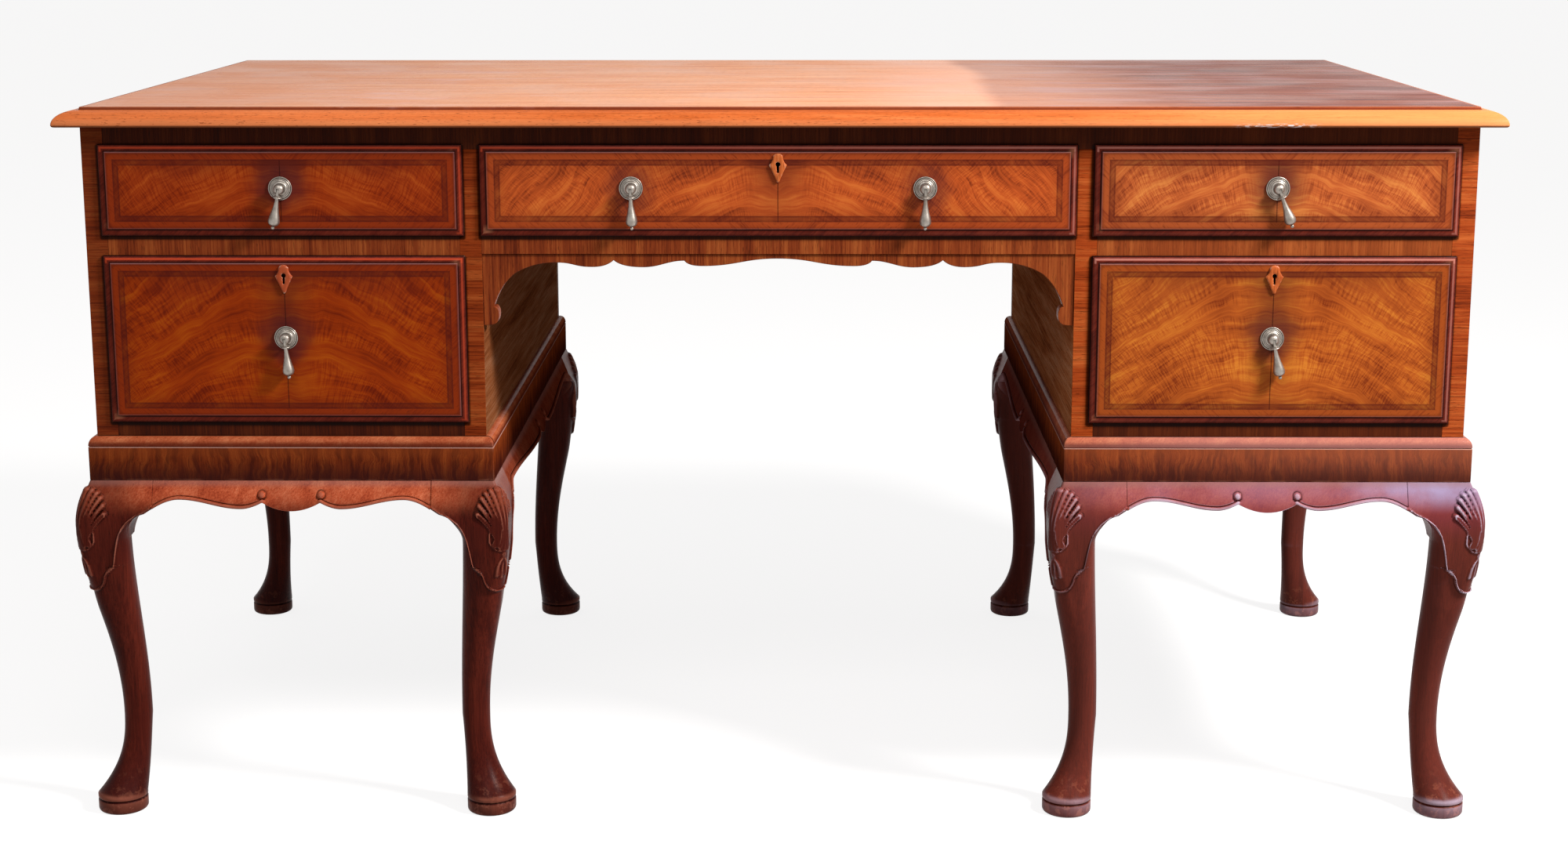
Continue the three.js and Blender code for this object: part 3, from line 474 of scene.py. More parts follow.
def lip_layers(s, x, y, z, square, high, seed):
    """A drawer front's moulded lip, with painted highlights at its top and right, and painted shade in the
    gap round it and along its fillet
    """
    mould, _ = grained(s, (x + z, x - z, y), "340d09 5a1c12 742c1e", seed)
    topward = z.span(high[2] - 9, high[2] - 7)
    lit = (topward + 0.06).larger(x.span(high[0] - 9, high[0] - 7, 0, 0.55))
    # painted highlight along the lip, where the light falls
    lip_highlight = abs(square - 3.6).span(1.7, 0.4) * lit
    # painted shade along the fillet's step
    fillet = abs(square - (LIP_OVOLO - 0.3)).span(1, 0.4)
    # painted highlight on the field's edge
    pale = abs(square - (LIP_OVOLO + 1.3)).span(1, 0.3) * lit
    return (
        (square.span(8.6, 7.9), mould),
        (lip_highlight * 0.75, s.blend(x.span(-400, 300), "c4482a", "b87468")),
        # painted shadow in the gap round the lip
        (square.span(1.5, 0.5, 0, 0.95), "120404"),
        (fillet * 0.85, "240a07"),
        (pale * 0.95, "c4a4a8"))


def front_material(drawer, seed, tones):
    """A drawer front: veneer, the inlaid border round it, and the lip round that"""
    s = Shade("veneer_" + drawer)
    low, high = box(drawer + "_drawer_front")
    x, y, z = s.places()
    off = x - (low[0] + high[0]) / 2
    u = abs(off)
    inside = rounded_inside(x, z, low, high, 16)
    square = rounded_inside(x, z, low, high, 1)
    field = veneer(s, off, u, z - low[2], z, high[2] - low[2], seed, tones)
    colour, seam, clouds, rings, height = field
    colour = colour.under(
        # painted shade: the field darker towards the lip
        (rounded_inside(x, z, low, high, 30).span(40, 12, 0, 0.3), "3a140c"),
        *pull_halo(x, z, drawer, clouds),
        seam,
        *border_layers(s, u, x, y, z, inside, seed, tones),
        *lip_layers(s, x, y, z, square, high, seed))
    return s.finish(worn(s, colour, "c08060", "160605", 0.35, square.span(9, 8)),
                    rings.span(0.3, 0.7, 0.4, 0.32), 0.05, height, 0.12)


def board_material(name, along, tones, seed, rough=0.42):
    """A board whose grain runs along the x or z axis"""
    s = Shade(name)
    x, y, z = s.places()
    colour, height = grained(s, (x, y, z) if along == "x" else (z, x, y), tones, seed)
    # painted light: lighter towards the right, where the lamp falls; then the painted shade round the lips
    colour = colour.under((x.span(0, 720, 0, 0.28), tones.split()[2]), lip_shade(s, x, y, z))
    return s.finish(colour, height.span(0, 0.6, rough - 0.04, rough + 0.06), 0.05, height, 0.08)


def side_material(name, tones, rough, specular):
    """A side board: streaks along its length, and a cross-banded front edge"""
    s = Shade(name)
    x, y, z = s.places()
    colour, height = grained(s, (y, z, x), tones, 3)
    stile, cross = grained(s, (x, z, y), "5e1f0e 9c4019 c06430", 1)
    streaks = s.noise((y * 0.003, z * 0.07, 5), 1, 3, 0.6)
    # painted shade on the left cheek, inside the kneehole
    kneehole = x.span(-PEDESTAL_X, -PEDESTAL_X + 10, 0, 0.5) * x.span(5, -5)
    bars = s.noise((x * 0.02, z * 0.5, 9), 1, 2)
    stile = stile.under(
        (bars.span(0.52, 0.7, 0, 0.45), "360f08"),
        # painted shade: the stile's edge darker towards the left
        (x.span(100, -720, 0, 0.55), "40140a"))
    colour = colour.under(
        (streaks.span(0.54, 0.68, 0, 0.5), tones.split()[2]),
        (kneehole, "2e140a"),
        (y.span(FRONT + 2.5, FRONT + 1.5), stile),
        lip_shade(s, x, y, z))
    return s.finish(colour, height.span(0, 0.6, rough - 0.04, rough + 0.06), specular, height + cross, 0.06)


def frieze_material(name, specular):
    """Base frame: upright feathered veneer on the frieze, and a long-grained ovolo above it"""
    s = Shade(name)
    x, y, z = s.places()
    level = x + y
    feather = level + s.noise((level * 0.6, z, 0), 0.03, 2) * 18
    upright, height = grained(s, (z * 1.4, feather * 2.4, x - y), "4c1a0c 783012 a04e20", 4)
    along, _ = grained(s, (level, z, x - y), "8a3a1e a85434 c4754e", 6)
    streaks = s.noise((feather * 0.1, z * 0.02, 8), 1, 3, 0.6)
    upright = upright.under(
        (streaks.span(0.44, 0.62, 0, 0.65), "380f09"),
        (z.span(STAND_TOP + 20, STAND_TOP + 34, 0, 0.3), "a04c22"),
        # painted light: lighter towards the right, darker towards the left
        (x.span(150, 700, 0, 0.22), "a86a58"),
        (x.span(0, -500, 0, 0.2), "380f09"),
        (z.span(STAND_TOP, STAND_TOP + 28, 0.75, 0), "2c0f10"))
    # painted shade in the crease where the ovolo meets the carcass front
    crease_shade = y.span(FRONT - 2.6, FRONT - 1) * y.span(FRONT + 1.5, FRONT + 0.5)
    along = along.under(
        # painted shade on the ovolo's lower part and in the crease, and a painted sheen towards the right
        (z.span(CARCASS_BOTTOM - 3.5, OVOLO_Z + 1, 0, 0.85), "54170c"),
        (crease_shade * 0.9, "1c0806"),
        (x.span(200, 500, 0, 0.4), "b07e7c"))
    # a painted highlight along the frieze's top arris, under the ovolo
    arris_highlight = abs(z - (OVOLO_Z - BASE_QUIRK - 0.5)).span(0.9, 0.3)
    colour = upright.under((z.span(OVOLO_Z - 0.9, OVOLO_Z - 0.4), along), (arris_highlight * 0.7, "c09488"))
    return s.finish(worn(s, colour, "b87d66", "140605", 0.6), 0.34, specular, height, 0.08)


def stand_material(name, specular):
    """Dark red-brown carved wood, with painted light on the aprons' upper swell, a painted sheen on the
    right, grime and painted shade in the carving, and rubbed ridges with painted highlights
    """
    s = Shade(name)
    x, y, z = s.places()
    colour, height = grained(s, (z, x, y), "300e0a 4c1911 66261a", 7)
    rail, _ = grained(s, (x + y, z * 0.7, x - y), "862c18 b85434 d87854", 7)
    patches = s.noise((x, y, z), 0.014, 4, 0.6)
    chips = s.noise((x, y, z), 0.11, 3, 0.65)
    off_centre = abs(abs(x) - PEDESTAL_X)
    between_posts = off_centre.span(PEDESTAL_HALF - 10, PEDESTAL_HALF - POST_WIDTH - 20, 0.3, 1)
    # the aprons' upper swell, which faces up a little: painted light, in a lighter tone
    swell = z.span(STAND_TOP - 40, STAND_TOP - 14) * patches.span(0.2, 0.6, 0.6, 1)
    maroon = x.span(200, 500, 0, 0.75) * z.span(STAND_TOP - 70, STAND_TOP - 20, 0, 0.85)
    # a painted bluish sheen near the top of the right stand's front
    painted_sheen = x.span(250, 600, 0, 0.88) * z.span(STAND_TOP - 34, STAND_TOP - 6)
    painted_sheen = painted_sheen * off_centre.span(60, PEDESTAL_HALF - 30, 0.3, 1) * y.span(FRONT + 30, FRONT, 0.25, 1)
    scuffed = z.span(60, 14) * chips.span(0.54, 0.64, 0, 0.4)
    pad = z.span(PAD_HEIGHT + 4, PAD_HEIGHT - 2) * chips.span(0.52, 0.62, 0, 0.55)
    # rubbed ridges with painted highlights, but not along the joint between leg and apron
    point = s.edges()
    joint = abs(off_centre - (PEDESTAL_HALF - BRACKET_END))
    ridges = point.span(0.508, 0.55) * patches.span(0.3, 0.6, 0.35, 0.9)
    ridges = ridges * z.span(STAND_TOP - 1.5, STAND_TOP - 4)
    ridges = ridges * joint.span(1.5, 3).larger(z.span(STAND_TOP - 30, STAND_TOP - 34))
    ridges = ridges * z.span(8, 26, 0.45, 1)
    colour = colour.under(
        (patches.span(0.45, 0.7, 0, 0.5), "451510"),
        # painted light: lighter towards the right, and lighter on the aprons' upper swell
        (x.span(150, 350, 0, 0.15), "a0574b"),
        (swell * between_posts, rail),
        (maroon, "74303a"),
        (painted_sheen * patches.span(0.3, 0.6, 0.4, 1), "9a8eb0"),
        # a painted highlight along the top band
        (z.span(STAND_TOP - 9, STAND_TOP - 1, 0, 0.45), "8a6660"),
        (scuffed, "9c5a44"),
        (pad, "92584a"),
        # painted shade low on the left legs
        (z.span(90, 20, 0, 0.4) * x.span(-100, -300), "200c10"),
        (ridges, s.blend(x.span(150, 450), "9c5a48", "b4a2b4")),
        # grime and painted shade in the carving's hollows
        (point.span(0.44, 0.498, 0.95, 0), "0d0403"))
    return s.finish(colour, patches.span(0.3, 0.7, 0.26, 0.36), specular, height + patches * 3, 0.1)


def lining_material():
    """Pale plain wood inside the drawers"""
    s = Shade("drawer_lining")
    x, y, z = s.places()
    colour, height = grained(s, (y, x, z), "8d6236 b08352 c9a06d", 3)
    colour = worn(s, colour, "dbb98a", "3b2413", 0.4)
    return s.finish(colour, height.span(0, 0.6, 0.55, 0.7), 0.5, height, 0.12)


def metal_material(name, tones, rough):
    """Antique metal: faintly mottled, darker in its corners and brighter where hands rub it"""
    s = Shade(name)
    place = s.places()
    mottle = s.noise(place, 0.16)
    point = s.edges()
    colour = s.ramp(mottle, tones, (0.3, 0.5, 0.7)).under(
        (point.span(0.52, 0.62, 0, 0.45), tones.split()[2]),
        (point.span(0.38, 0.48, 0.9, 0), "1c130d"))
    height = s.noise(place, 0.5, 2)
    return s.finish(colour, mottle.span(0.3, 0.7, rough + 0.08, rough), 0.5, height, 0.02, 0.85)


def shield_material():
    """The keyhole shields' paler wood, redder to the left, with chipped edges"""
    s = Shade("shield_wood")
    x, y, z = s.places()
    colour, height = grained(s, (z, x, y), "883818 b85c2c d07c48", 5)
    chips = s.noise((x, y, z), 0.3, 3, 0.6)
    colour = colour.under(
        (x.span(0, -520, 0, 0.8), "a04428"),
        (s.edges().span(0.52, 0.6) * chips.span(0.5, 0.6), "f0cfb4"))
    return s.finish(colour, 0.42, 0.1, height + chips, 0.08)


# Mesh building
def linked(name, data):
    """A new object in the scene"""
    made = bpy.data.objects.new(name, data)
    bpy.context.scene.collection.objects.link(made)
    return made


def solid(name, points, faces, joined=False):
    """An object with a closed mesh, from points in millimetres"""
    mesh = bpy.data.meshes.new(name)
    mesh.from_pydata([Vector(p) * MM for p in points], [], faces)
    work = bmesh.new()
    work.from_mesh(mesh)
    if joined:
        bmesh.ops.remove_doubles(work, verts=work.verts, dist=1e-6)
    bmesh.ops.recalc_face_normals(work, faces=work.faces)
    work.to_mesh(mesh)
    work.free()
    return linked(name, mesh)


def smooth(mesh, sharp):
    """Shades softly, but not over edges that turn by more than sharp degrees"""
    mesh.shade_smooth()
    mesh.set_sharp_from_angle(angle=math.radians(sharp))


def piece(name, skin, material, body, node=None, sharp=32):
    """A mesh that rides on a body, in place of a CAD node if it names one"""
    made = solid(name, *skin, joined=True)
    smooth(made.data, sharp)
    made.data.materials.append(material)
    if node:
        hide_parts(node)
    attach(made, body)
    return made


def loft(rings, closed=False):
    """Points and faces of a skin over rings with equal counts, with ends, or closed in a loop"""
    size = len(rings[0])
    points = [p for ring in rings for p in ring]
    faces = []
    for k in range(len(rings) if closed else len(rings) - 1):
        here = k * size
        there = (k + 1) % len(rings) * size
        for j in range(size):
            step = (j + 1) % size
            faces.append((here + j, here + step, there + step, there + j))
    if not closed:
        faces.append(tuple(range(size))[::-1])
        faces.append(tuple(len(points) - size + j for j in range(size)))
    return points, faces


def side_counts(half_a, half_b, spacing=14):
    """Into how many pieces the sides of a rectangle's rings are cut"""
    return max(2, round(half_b * 2 / spacing)), max(2, round(half_a * 2 / spacing))


def rounded_ring(half_a, half_b, radius, count, steps=3):
    """Points round a rectangle with rounded corners, as pairs, with points along its sides too"""
    flat_a = half_a - radius
    flat_b = half_b - radius
    ring = []
    for turned, (a, b) in enumerate(((1, 1), (-1, 1), (-1, -1), (1, -1))):
        for k in range(steps + 1):
            turn = math.pi / 2 * (turned + k / steps)
            ring.append((a * flat_a + radius * math.cos(turn), b * flat_b + radius * math.sin(turn)))
        end = ring[-1]
        level = turned % 2 == 0
        start = (-a * flat_a, end[1]) if level else (end[0], -b * flat_b)
        pieces = count[1 if level else 0]
        for k in range(1, pieces):
            ring.append((mix(end[0], start[0], k / pieces), mix(end[1], start[1], k / pieces)))
    return ring


def quarter(width, height, steps):
    """A convex quarter from its crown (full inset, no drop) to its tip (no inset, full drop)"""
    turns = [math.pi / 2 * k / steps for k in range(steps + 1)]
    return [(width * (1 - math.sin(t)), height * (1 - math.cos(t))) for t in turns]


def curve(start, handle, end, steps=10):
    """A quadratic curve as a list of pairs"""
    ends = list(zip(start, handle, end))
    shares = [k / steps for k in range(steps + 1)]
    return [tuple(mix(mix(a, h, t), mix(h, b, t), t) for a, h, b in ends) for t in shares]


def middle_and_half(low, high, axis):
    return (low[axis] + high[axis]) / 2, (high[axis] - low[axis]) / 2


# Top and base frames
def top_board(material):
    thick = TOP_HIGH[2] - TOP_LOW[2]
    crown = TOP_EDGE_WIDTH - TOP_STEP_WIDTH
    fillet = ((16, 0), (6, 0), (2.5, 0), (0.8, 0), (0.3, 0.12), (0, 0.5),
              (-0.5, TOP_STEP_HEIGHT - 0.3), (-0.8, TOP_STEP_HEIGHT))
    ovolo = quarter(crown, TOP_LIP_DROP - TOP_STEP_HEIGHT, 14)
    profile = [(TOP_EDGE_WIDTH + inset, drop) for inset, drop in fillet]
    profile += [(inset, drop + TOP_STEP_HEIGHT) for inset, drop in ovolo]
    profile += [(0.15, TOP_LIP_DROP + 0.8), (0.6, thick - 0.9), (TOP_UNDERCUT, thick - 0.2)]
    profile.append((TOP_UNDERCUT + 1, thick))
    count = side_counts(TOP_HIGH[0], TOP_HIGH[1], 24)
    rings = []
    for inset, drop in profile:
        ring = rounded_ring(TOP_HIGH[0] - inset, TOP_HIGH[1] - inset, 1.6, count)
        rings.append([(x, y, TOP_HIGH[2] - drop) for x, y in ring])
    piece("top_board_dressed", loft(rings), material, "carcass", "top_board")


def base_frame(side, sign, material, side_face):
    low, high = BASE_LOW[2], BASE_HIGH[2]
    frieze_top = high - BASE_OVOLO - BASE_QUIRK
    profile = [(-BASE_FRAME_WIDTH, low), (BASE_REACH - 0.4, low)]
    profile += [(BASE_REACH, low + up) for up in (0.4, 2.5, 9)]
    profile += [(BASE_REACH, frieze_top - down) for down in (9, 2.5, 0.5)]
    profile += [(BASE_REACH - 0.3, frieze_top - 0.1), (BASE_REACH - BASE_QUIRK - 0.2, frieze_top)]
    ovolo = quarter(BASE_REACH - BASE_QUIRK, BASE_OVOLO, 10)[::-1]
    profile += [(BASE_REACH - inset, high - drop) for inset, drop in ovolo]
    profile.append((-BASE_FRAME_WIDTH, high))
    count = side_counts(PEDESTAL_HALF, CARCASS_Y)
    rings = []
    for out, z in profile:
        radius = max(0.3, 1.2 + min(0, out))
        ring = rounded_ring(PEDESTAL_HALF + out, CARCASS_Y + out, radius, count)
        rings.append([(sign * PEDESTAL_X + x, y, z) for x, y in ring])
    skin = loft(rings, closed=True)
    made = piece(side + "_base_dressed", skin, material, "carcass", side + "_base_frame")
    made.data.materials.append(side_face)
    for polygon in made.data.polygons:
        if abs(polygon.normal.x) > 0.7:
            polygon.material_index = 1


# The cabriole leg, with the corner of the carcass at its origin and the stand at +X and +Y
def shin(z):
    """How far the shin has bent from the knee towards the ankle"""
    return ease(((KNEE_Z - z) / (KNEE_Z - ANKLE_Z)) ** 0.93)


def spread(z):
    """How far the foot has spread from the ankle towards the toe"""
    return min(1, (ANKLE_Z - z) / (ANKLE_Z - TOE_HEIGHT))


def leg_out(z):
    """How far the outer faces stand out past the corner"""
    if z >= KNEE_Z:
        fall = (STAND_TOP - z) / (STAND_TOP - KNEE_Z)
        return mix(BASE_REACH, KNEE_REACH, math.sin(math.pi / 2 * fall))
    if z >= ANKLE_Z:
        return mix(KNEE_REACH, -ANKLE_INSET, shin(z))
    return mix(-ANKLE_INSET, FOOT_RADIUS - FOOT_INSET, spread(z) ** 2.6)


def leg_back(z):
    """How far the inner faces lie inside the corner"""
    ankle = ANKLE_INSET + ANKLE_WIDTH
    if z >= KNEE_Z:
        return mix(KNEE_BACK, POST_WIDTH, ease((z - KNEE_Z) / (STAND_TOP - KNEE_Z) / 0.8))
    if z >= ANKLE_Z:
        return mix(KNEE_BACK, ankle, shin(z))
    return mix(ankle, FOOT_RADIUS + FOOT_INSET, spread(z) ** 0.9)


def corner_radius(z, share):
    """Of a corner that takes up a share of the leg's half width at the knee, and all of it at the ankle"""
    if z >= KNEE_Z:
        rounded = mix(share, 0.08, (z - KNEE_Z) / (STAND_TOP - KNEE_Z))
    else:
        rounded = mix(share, 0.995, ease((KNEE_Z - z) / (KNEE_Z - ANKLE_Z) * 1.4))
    return (leg_out(z) + leg_back(z)) / 2 * rounded


def ridge_radius(z):
    """Of the corner that shows"""
    return corner_radius(z, 0.45)


def arch_height(inward):
    """The arch's height at a distance in from the corner, from the ear up to the crest"""
    run = (inward - EAR_IN) / (BRACKET_REACH - EAR_IN)
    return mix(EAR_Z, CREST_Z, math.sin(math.pi / 2 * run))


def bracket_edge(z):
    """How far in from the corner the arch beside the leg begins"""
    if z >= EAR_Z:
        lift = min(1, (z - EAR_Z) / (CREST_Z - EAR_Z))
        return min(BRACKET_END, mix(EAR_IN, BRACKET_REACH, math.asin(lift) * 2 / math.pi))
    rise = max(0, (z - BRACKET_TIP_Z) / (EAR_Z - BRACKET_TIP_Z))
    return mix(EAR_IN, BRACKET_TIP_IN, math.sqrt(1 - rise * rise))


def around(x, z):
    """How far round from the ridge a place on the front face is"""
    radius = ridge_radius(z)
    return x + leg_out(z) - radius + radius * math.pi / 4


def nearest(point, path):
    """Distance from a point to a path, and how far along the path that is, from 0 to 1"""
    best = (1e9, 0)
    spans = len(path) - 1
    for k in range(spans):
        (ax, ay), (bx, by) = path[k], path[k + 1]
        length = (bx - ax) ** 2 + (by - ay) ** 2
        t = ((point[0] - ax) * (bx - ax) + (point[1] - ay) * (by - ay)) / length
        t = min(1, max(0, t))
        away = math.hypot(point[0] - mix(ax, bx, t), point[1] - mix(ay, by, t))
        if away < best[0]:
            best = (away, (k + t) / spans)
    return best


# Knee carving. Its places are distances round from the corner's ridge, and below the top of the stand
CARVING_LOW = STAND_TOP - 150
SHELL_FOOT = 75
SHELL_HEADS = ((0, 9.5), (6.3, 10.5), (12.3, 13.5), (18, 18.5), (23.2, 26), (27.2, 35.5))
SHELL_RIB = (1.1, 3.4, 1.8, 4.2)
# Leaves: start, handle and end, then half the width at the foot and head, the height there, and steps
LEAVES = (
    ((6.5, 55), (9.2, 61), (9.8, 68), (1, 4.2, 1.2, 2.6), 6),
    ((15.5, 50), (17.4, 57), (16.4, 65.5), (0.9, 1.3, 1, 1.4), 6),
    ((16.2, 66), (13, 73), (3, 76.5), (1.3, 1.1, 1.3, 1), 6),
    ((0, 77.5), (0.8, 79.5), (0, 82), (3.2, 2.4, 1.6, 1.4), 3),
    ((0.8, 83.5), (6.8, 90), (5.6, 104), (1.5, 2.3, 1.4, 1.9), 10),
    ((2, 86), (5.5, 93), (3.6, 103), (1.2, 2.2, 0.8, 1), 10),
    ((0, 85), (0, 95), (0, 106), (1, 2.2, 0.9, 1.6), 10),
)
# The bead's way down the knee: first places in from the corner, then distances round from the ridge
BEAD_DOWN = ((60.2, 27.5), (55, 30.8), (50.5, 33.6), (45, 35.9), (39.5, 38.6), (34.8, 42.4),
             (30.4, 46.8), (26.8, 51.8), (23.9, 58), (21.5, 66), (20, 73), (18.4, 81), (17, 89),
             (15.6, 94.5))
BEAD_ROUND = ((26.8, 99), (23, 102), (20.3, 105.5), (18.6, 110), (16.8, 113.5), (13.8, 117.5),
              (10, 120.4), (5, 122.4), (0, 122.8))
BEAD = [(around(x, STAND_TOP - drop), STAND_TOP - drop) for x, drop in BEAD_DOWN]
BEAD += [(s, STAND_TOP - drop) for s, drop in BEAD_ROUND]
BEAD_HALF = 1.5
BEAD_RISE = 2
BEAD_GROUND = 1.5


def rib(path, sizes):
    """A rounded rib along a path, with the corners of the area that it can reach"""
    wide = max(sizes[:2])
    low = [min(p[k] for p in path) - wide for k in (0, 1)]
    high = [max(p[k] for p in path) + wide for k in (0, 1)]
    return path, sizes, low, high


def knee_ribs():
    ribs = []
    foot_z = STAND_TOP - SHELL_FOOT
    for reach, below in SHELL_HEADS:
        head = (reach, STAND_TOP - below)
        handle = (reach * 0.42, mix(foot_z, head[1], 0.6))
        ribs.append(rib(curve((reach * 0.2, foot_z), handle, head), SHELL_RIB))
    for *places, sizes, steps in LEAVES:
        ribs.append(rib(curve(*((s, STAND_TOP - below) for s, below in places), steps), sizes))
    return ribs


RIBS = knee_ribs()


def bead_at(z):
    """How far round from the ridge the bead runs at height z"""
    if z >= BEAD[0][1]:
        return 1e3
    for (s0, z0), (s1, z1) in zip(BEAD, BEAD[1:]):
        if z1 <= z <= z0:
            return mix(s0, s1, (z0 - z) / (z0 - z1))
    return -1


def dome(away, radius):
    """The height of a half round at a distance from its middle, as a share"""
    return math.sqrt(1 - (away / radius) ** 2) if away < radius else 0


def carving(s, z):
    """How far the carved surface stands out at a distance s round from the ridge, at height z"""
    if z < CARVING_LOW or z > STAND_TOP - 2:
        return 0
    tallest = 0
    for path, (foot, head, low, high), (s0, z0), (s1, z1) in RIBS:
        if s0 < s < s1 and z0 < z < z1:
            away, along = nearest((s, z), path)
            tallest = max(tallest, mix(low, high, along) * dome(away, mix(foot, head, along)))
    away, _ = nearest((s, z), BEAD)
    tallest = max(tallest, BEAD_RISE * dome(away, BEAD_HALF))
    if s > bead_at(z):
        return tallest - BEAD_GROUND * max(0, 1 - max(0, away - BEAD_HALF) / 24) ** 1.5
    return tallest


# Into how many pieces the carved part of a leg's outline is cut: the ridge, the face and the turn
RIDGE_STEPS = 9
FACE_STEPS = 44
TURN_STEPS = 14
CARVED_POINTS = RIDGE_STEPS + FACE_STEPS + TURN_STEPS


def leg_section(z):
    """One half of the leg's outline at height z, from the ridge round to the inner corner.
    Each point has its place, the way out, and the distance round from the ridge"""
    out, back = leg_out(z), leg_back(z)
    crisp, soft = ridge_radius(z), corner_radius(z, 0.9)
    wing = max(bracket_edge(z), back)
    winged = z > BRACKET_TIP_Z and bracket_edge(z) > back
    shown = mix(soft, 1.2, ease((z - BRACKET_TIP_Z) / (EAR_Z - BRACKET_TIP_Z)))
    bend = wing - shown
    edge = bead_at(z) - around(0, z)
    panel = edge if z > BEAD[len(BEAD_DOWN) - 1][1] and bend < edge < wing - 0.5 else bend
    centre = back - soft
    deep = min(BRACKET_THICKNESS, centre + soft * 0.68) if winged else (centre + shown - out) / 2
    outline = []

    def arc(cx, cy, r, start, end, steps):
        for k in range(steps):
            turn = math.radians(mix(start, end, k / steps))
            across, ahead = math.cos(turn), math.sin(turn)
            outline.append((cx + r * across, cy + r * ahead, across, ahead))

    def line(ax, ay, bx, by, nx, ny, steps):
        for k in range(steps):
            outline.append((mix(ax, bx, k / steps), mix(ay, by, k / steps), nx, ny))

    arc(crisp - out, crisp - out, crisp, 225, 270, RIDGE_STEPS)
    line(crisp - out, -out, panel, -out, 0, -1, FACE_STEPS)
    start = math.degrees(math.asin(min(1, (panel + 0.3 - bend) / shown))) if panel > bend else 0
    arc(bend, shown - out, shown, 270 + start, 360, TURN_STEPS)
    line(wing, shown - out, wing, deep, 1, 0, 6)
    inside = max(0, min(1, (deep - centre) / soft))
    body_x = centre + soft * math.sqrt(1 - inside * inside)
    line(wing, deep, body_x, deep, 0, 1, 3)
    line(body_x, deep, body_x, max(deep, centre), 1, 0, 3)
    arc(centre, centre, soft, math.degrees(math.asin(inside)), 45, 7)
    corner = centre + soft / math.sqrt(2)
    outline.append((corner, corner, 0.7071, 0.7071))
    run = 0
    section = []
    for k, (x, y, nx, ny) in enumerate(outline):
        if k:
            run += math.hypot(x - outline[k - 1][0], y - outline[k - 1][1])
        section.append((x, y, nx, ny, run))
    return section


def both_faces(half):
    """A ring from its half between the ridge and the inner corner"""
    return half + [(y, x, z) for x, y, z in half[1:-1]][::-1]


def leg_ring(z):
    half = []
    for k, (x, y, nx, ny, run) in enumerate(leg_section(z)):
        proud = carving(run, z) if k < CARVED_POINTS else 0
        half.append((max(x + nx * proud, -KNEE_LIMIT), max(y + ny * proud, -KNEE_LIMIT), z))
    return both_faces(half)


def steps_between(high, low, spacing):
    count = max(1, round((high - low) / spacing))
    return [mix(high, low, k / count) for k in range(count)]


def leg_mesh():
    heights = steps_between(STAND_TOP - SEAT, CARVING_LOW, 1)
    heights += steps_between(CARVING_LOW, ANKLE_Z, 4)
    heights += steps_between(ANKLE_Z, TOE_HEIGHT, 3) + [TOE_HEIGHT]
    rings = [leg_ring(z) for z in heights]
    groove = PAD_HEIGHT + PAD_GROOVE
    pad = [(0, groove + 1.2), (0.4, groove + 0.4), (PAD_GROOVE, PAD_HEIGHT + PAD_GROOVE / 2)]
    pad += [(0.5, PAD_HEIGHT - 0.1), (0, PAD_HEIGHT - 0.9), (0, PAD_ROUNDING)]
    for t in (0.4, 0.8, 1.2, 1.5708):
        pad.append((PAD_ROUNDING * (1 - math.cos(t)), PAD_ROUNDING - PAD_ROUNDING * math.sin(t)))
    toe = [math.atan2(y - FOOT_INSET, x - FOOT_INSET) for x, y, *_ in leg_section(TOE_HEIGHT)]
    for inset, z in pad:
        radius = FOOT_RADIUS - inset
        rings.append(both_faces([(FOOT_INSET + radius * math.cos(turn),
                                  FOOT_INSET + radius * math.sin(turn), z) for turn in toe]))
    return loft(rings)


def legs(material):
    points, faces = leg_mesh()
    for side, sign in SIDES:
        for end, y_sign in (("front", -1), ("back", 1)):
            for flank, x_sign in (("outer", sign), ("inner", -sign)):
                corner_x = sign * PEDESTAL_X + x_sign * PEDESTAL_HALF
                corner_y = y_sign * CARCASS_Y
                placed = [(corner_x - x_sign * x, corner_y - y_sign * y, z) for x, y, z in points]
                name = f"{side}_{end}_{flank}_leg"
                piece(name + "_carved", (placed, faces), material, "carcass", name, 50)


# Stand aprons
def apron_edge(along, half):
    """Height of a stand apron's lower edge at a distance from its middle"""
    u = abs(along)
    crest_at = half + BRACKET_END - BRACKET_REACH
    if u <= CUSP_AT:
        return mix(LOBE_Z, CUSP_Z, (u / CUSP_AT) ** 2)
    if u <= DIP_AT:
        return mix(DIP_Z, CUSP_Z, ((DIP_AT - u) / (DIP_AT - CUSP_AT)) ** 1.8)
    if u <= crest_at:
        return mix(DIP_Z, CREST_Z, ease((u - DIP_AT) / (crest_at - DIP_AT)))
    return arch_height(half + BRACKET_END - u)


def apron_face(u, z):
    """How far an apron's face stands out: the swell of the knee, and a round nodule above each cusp"""
    away = math.hypot(abs(u) - NODULE_AT, z - NODULE_Z)
    ring = max(0, 1 - abs(away - NODULE_RADIUS - 1) / 1.4)
    return leg_out(z) + NODULE_PROUD * dome(away, NODULE_RADIUS) - ring


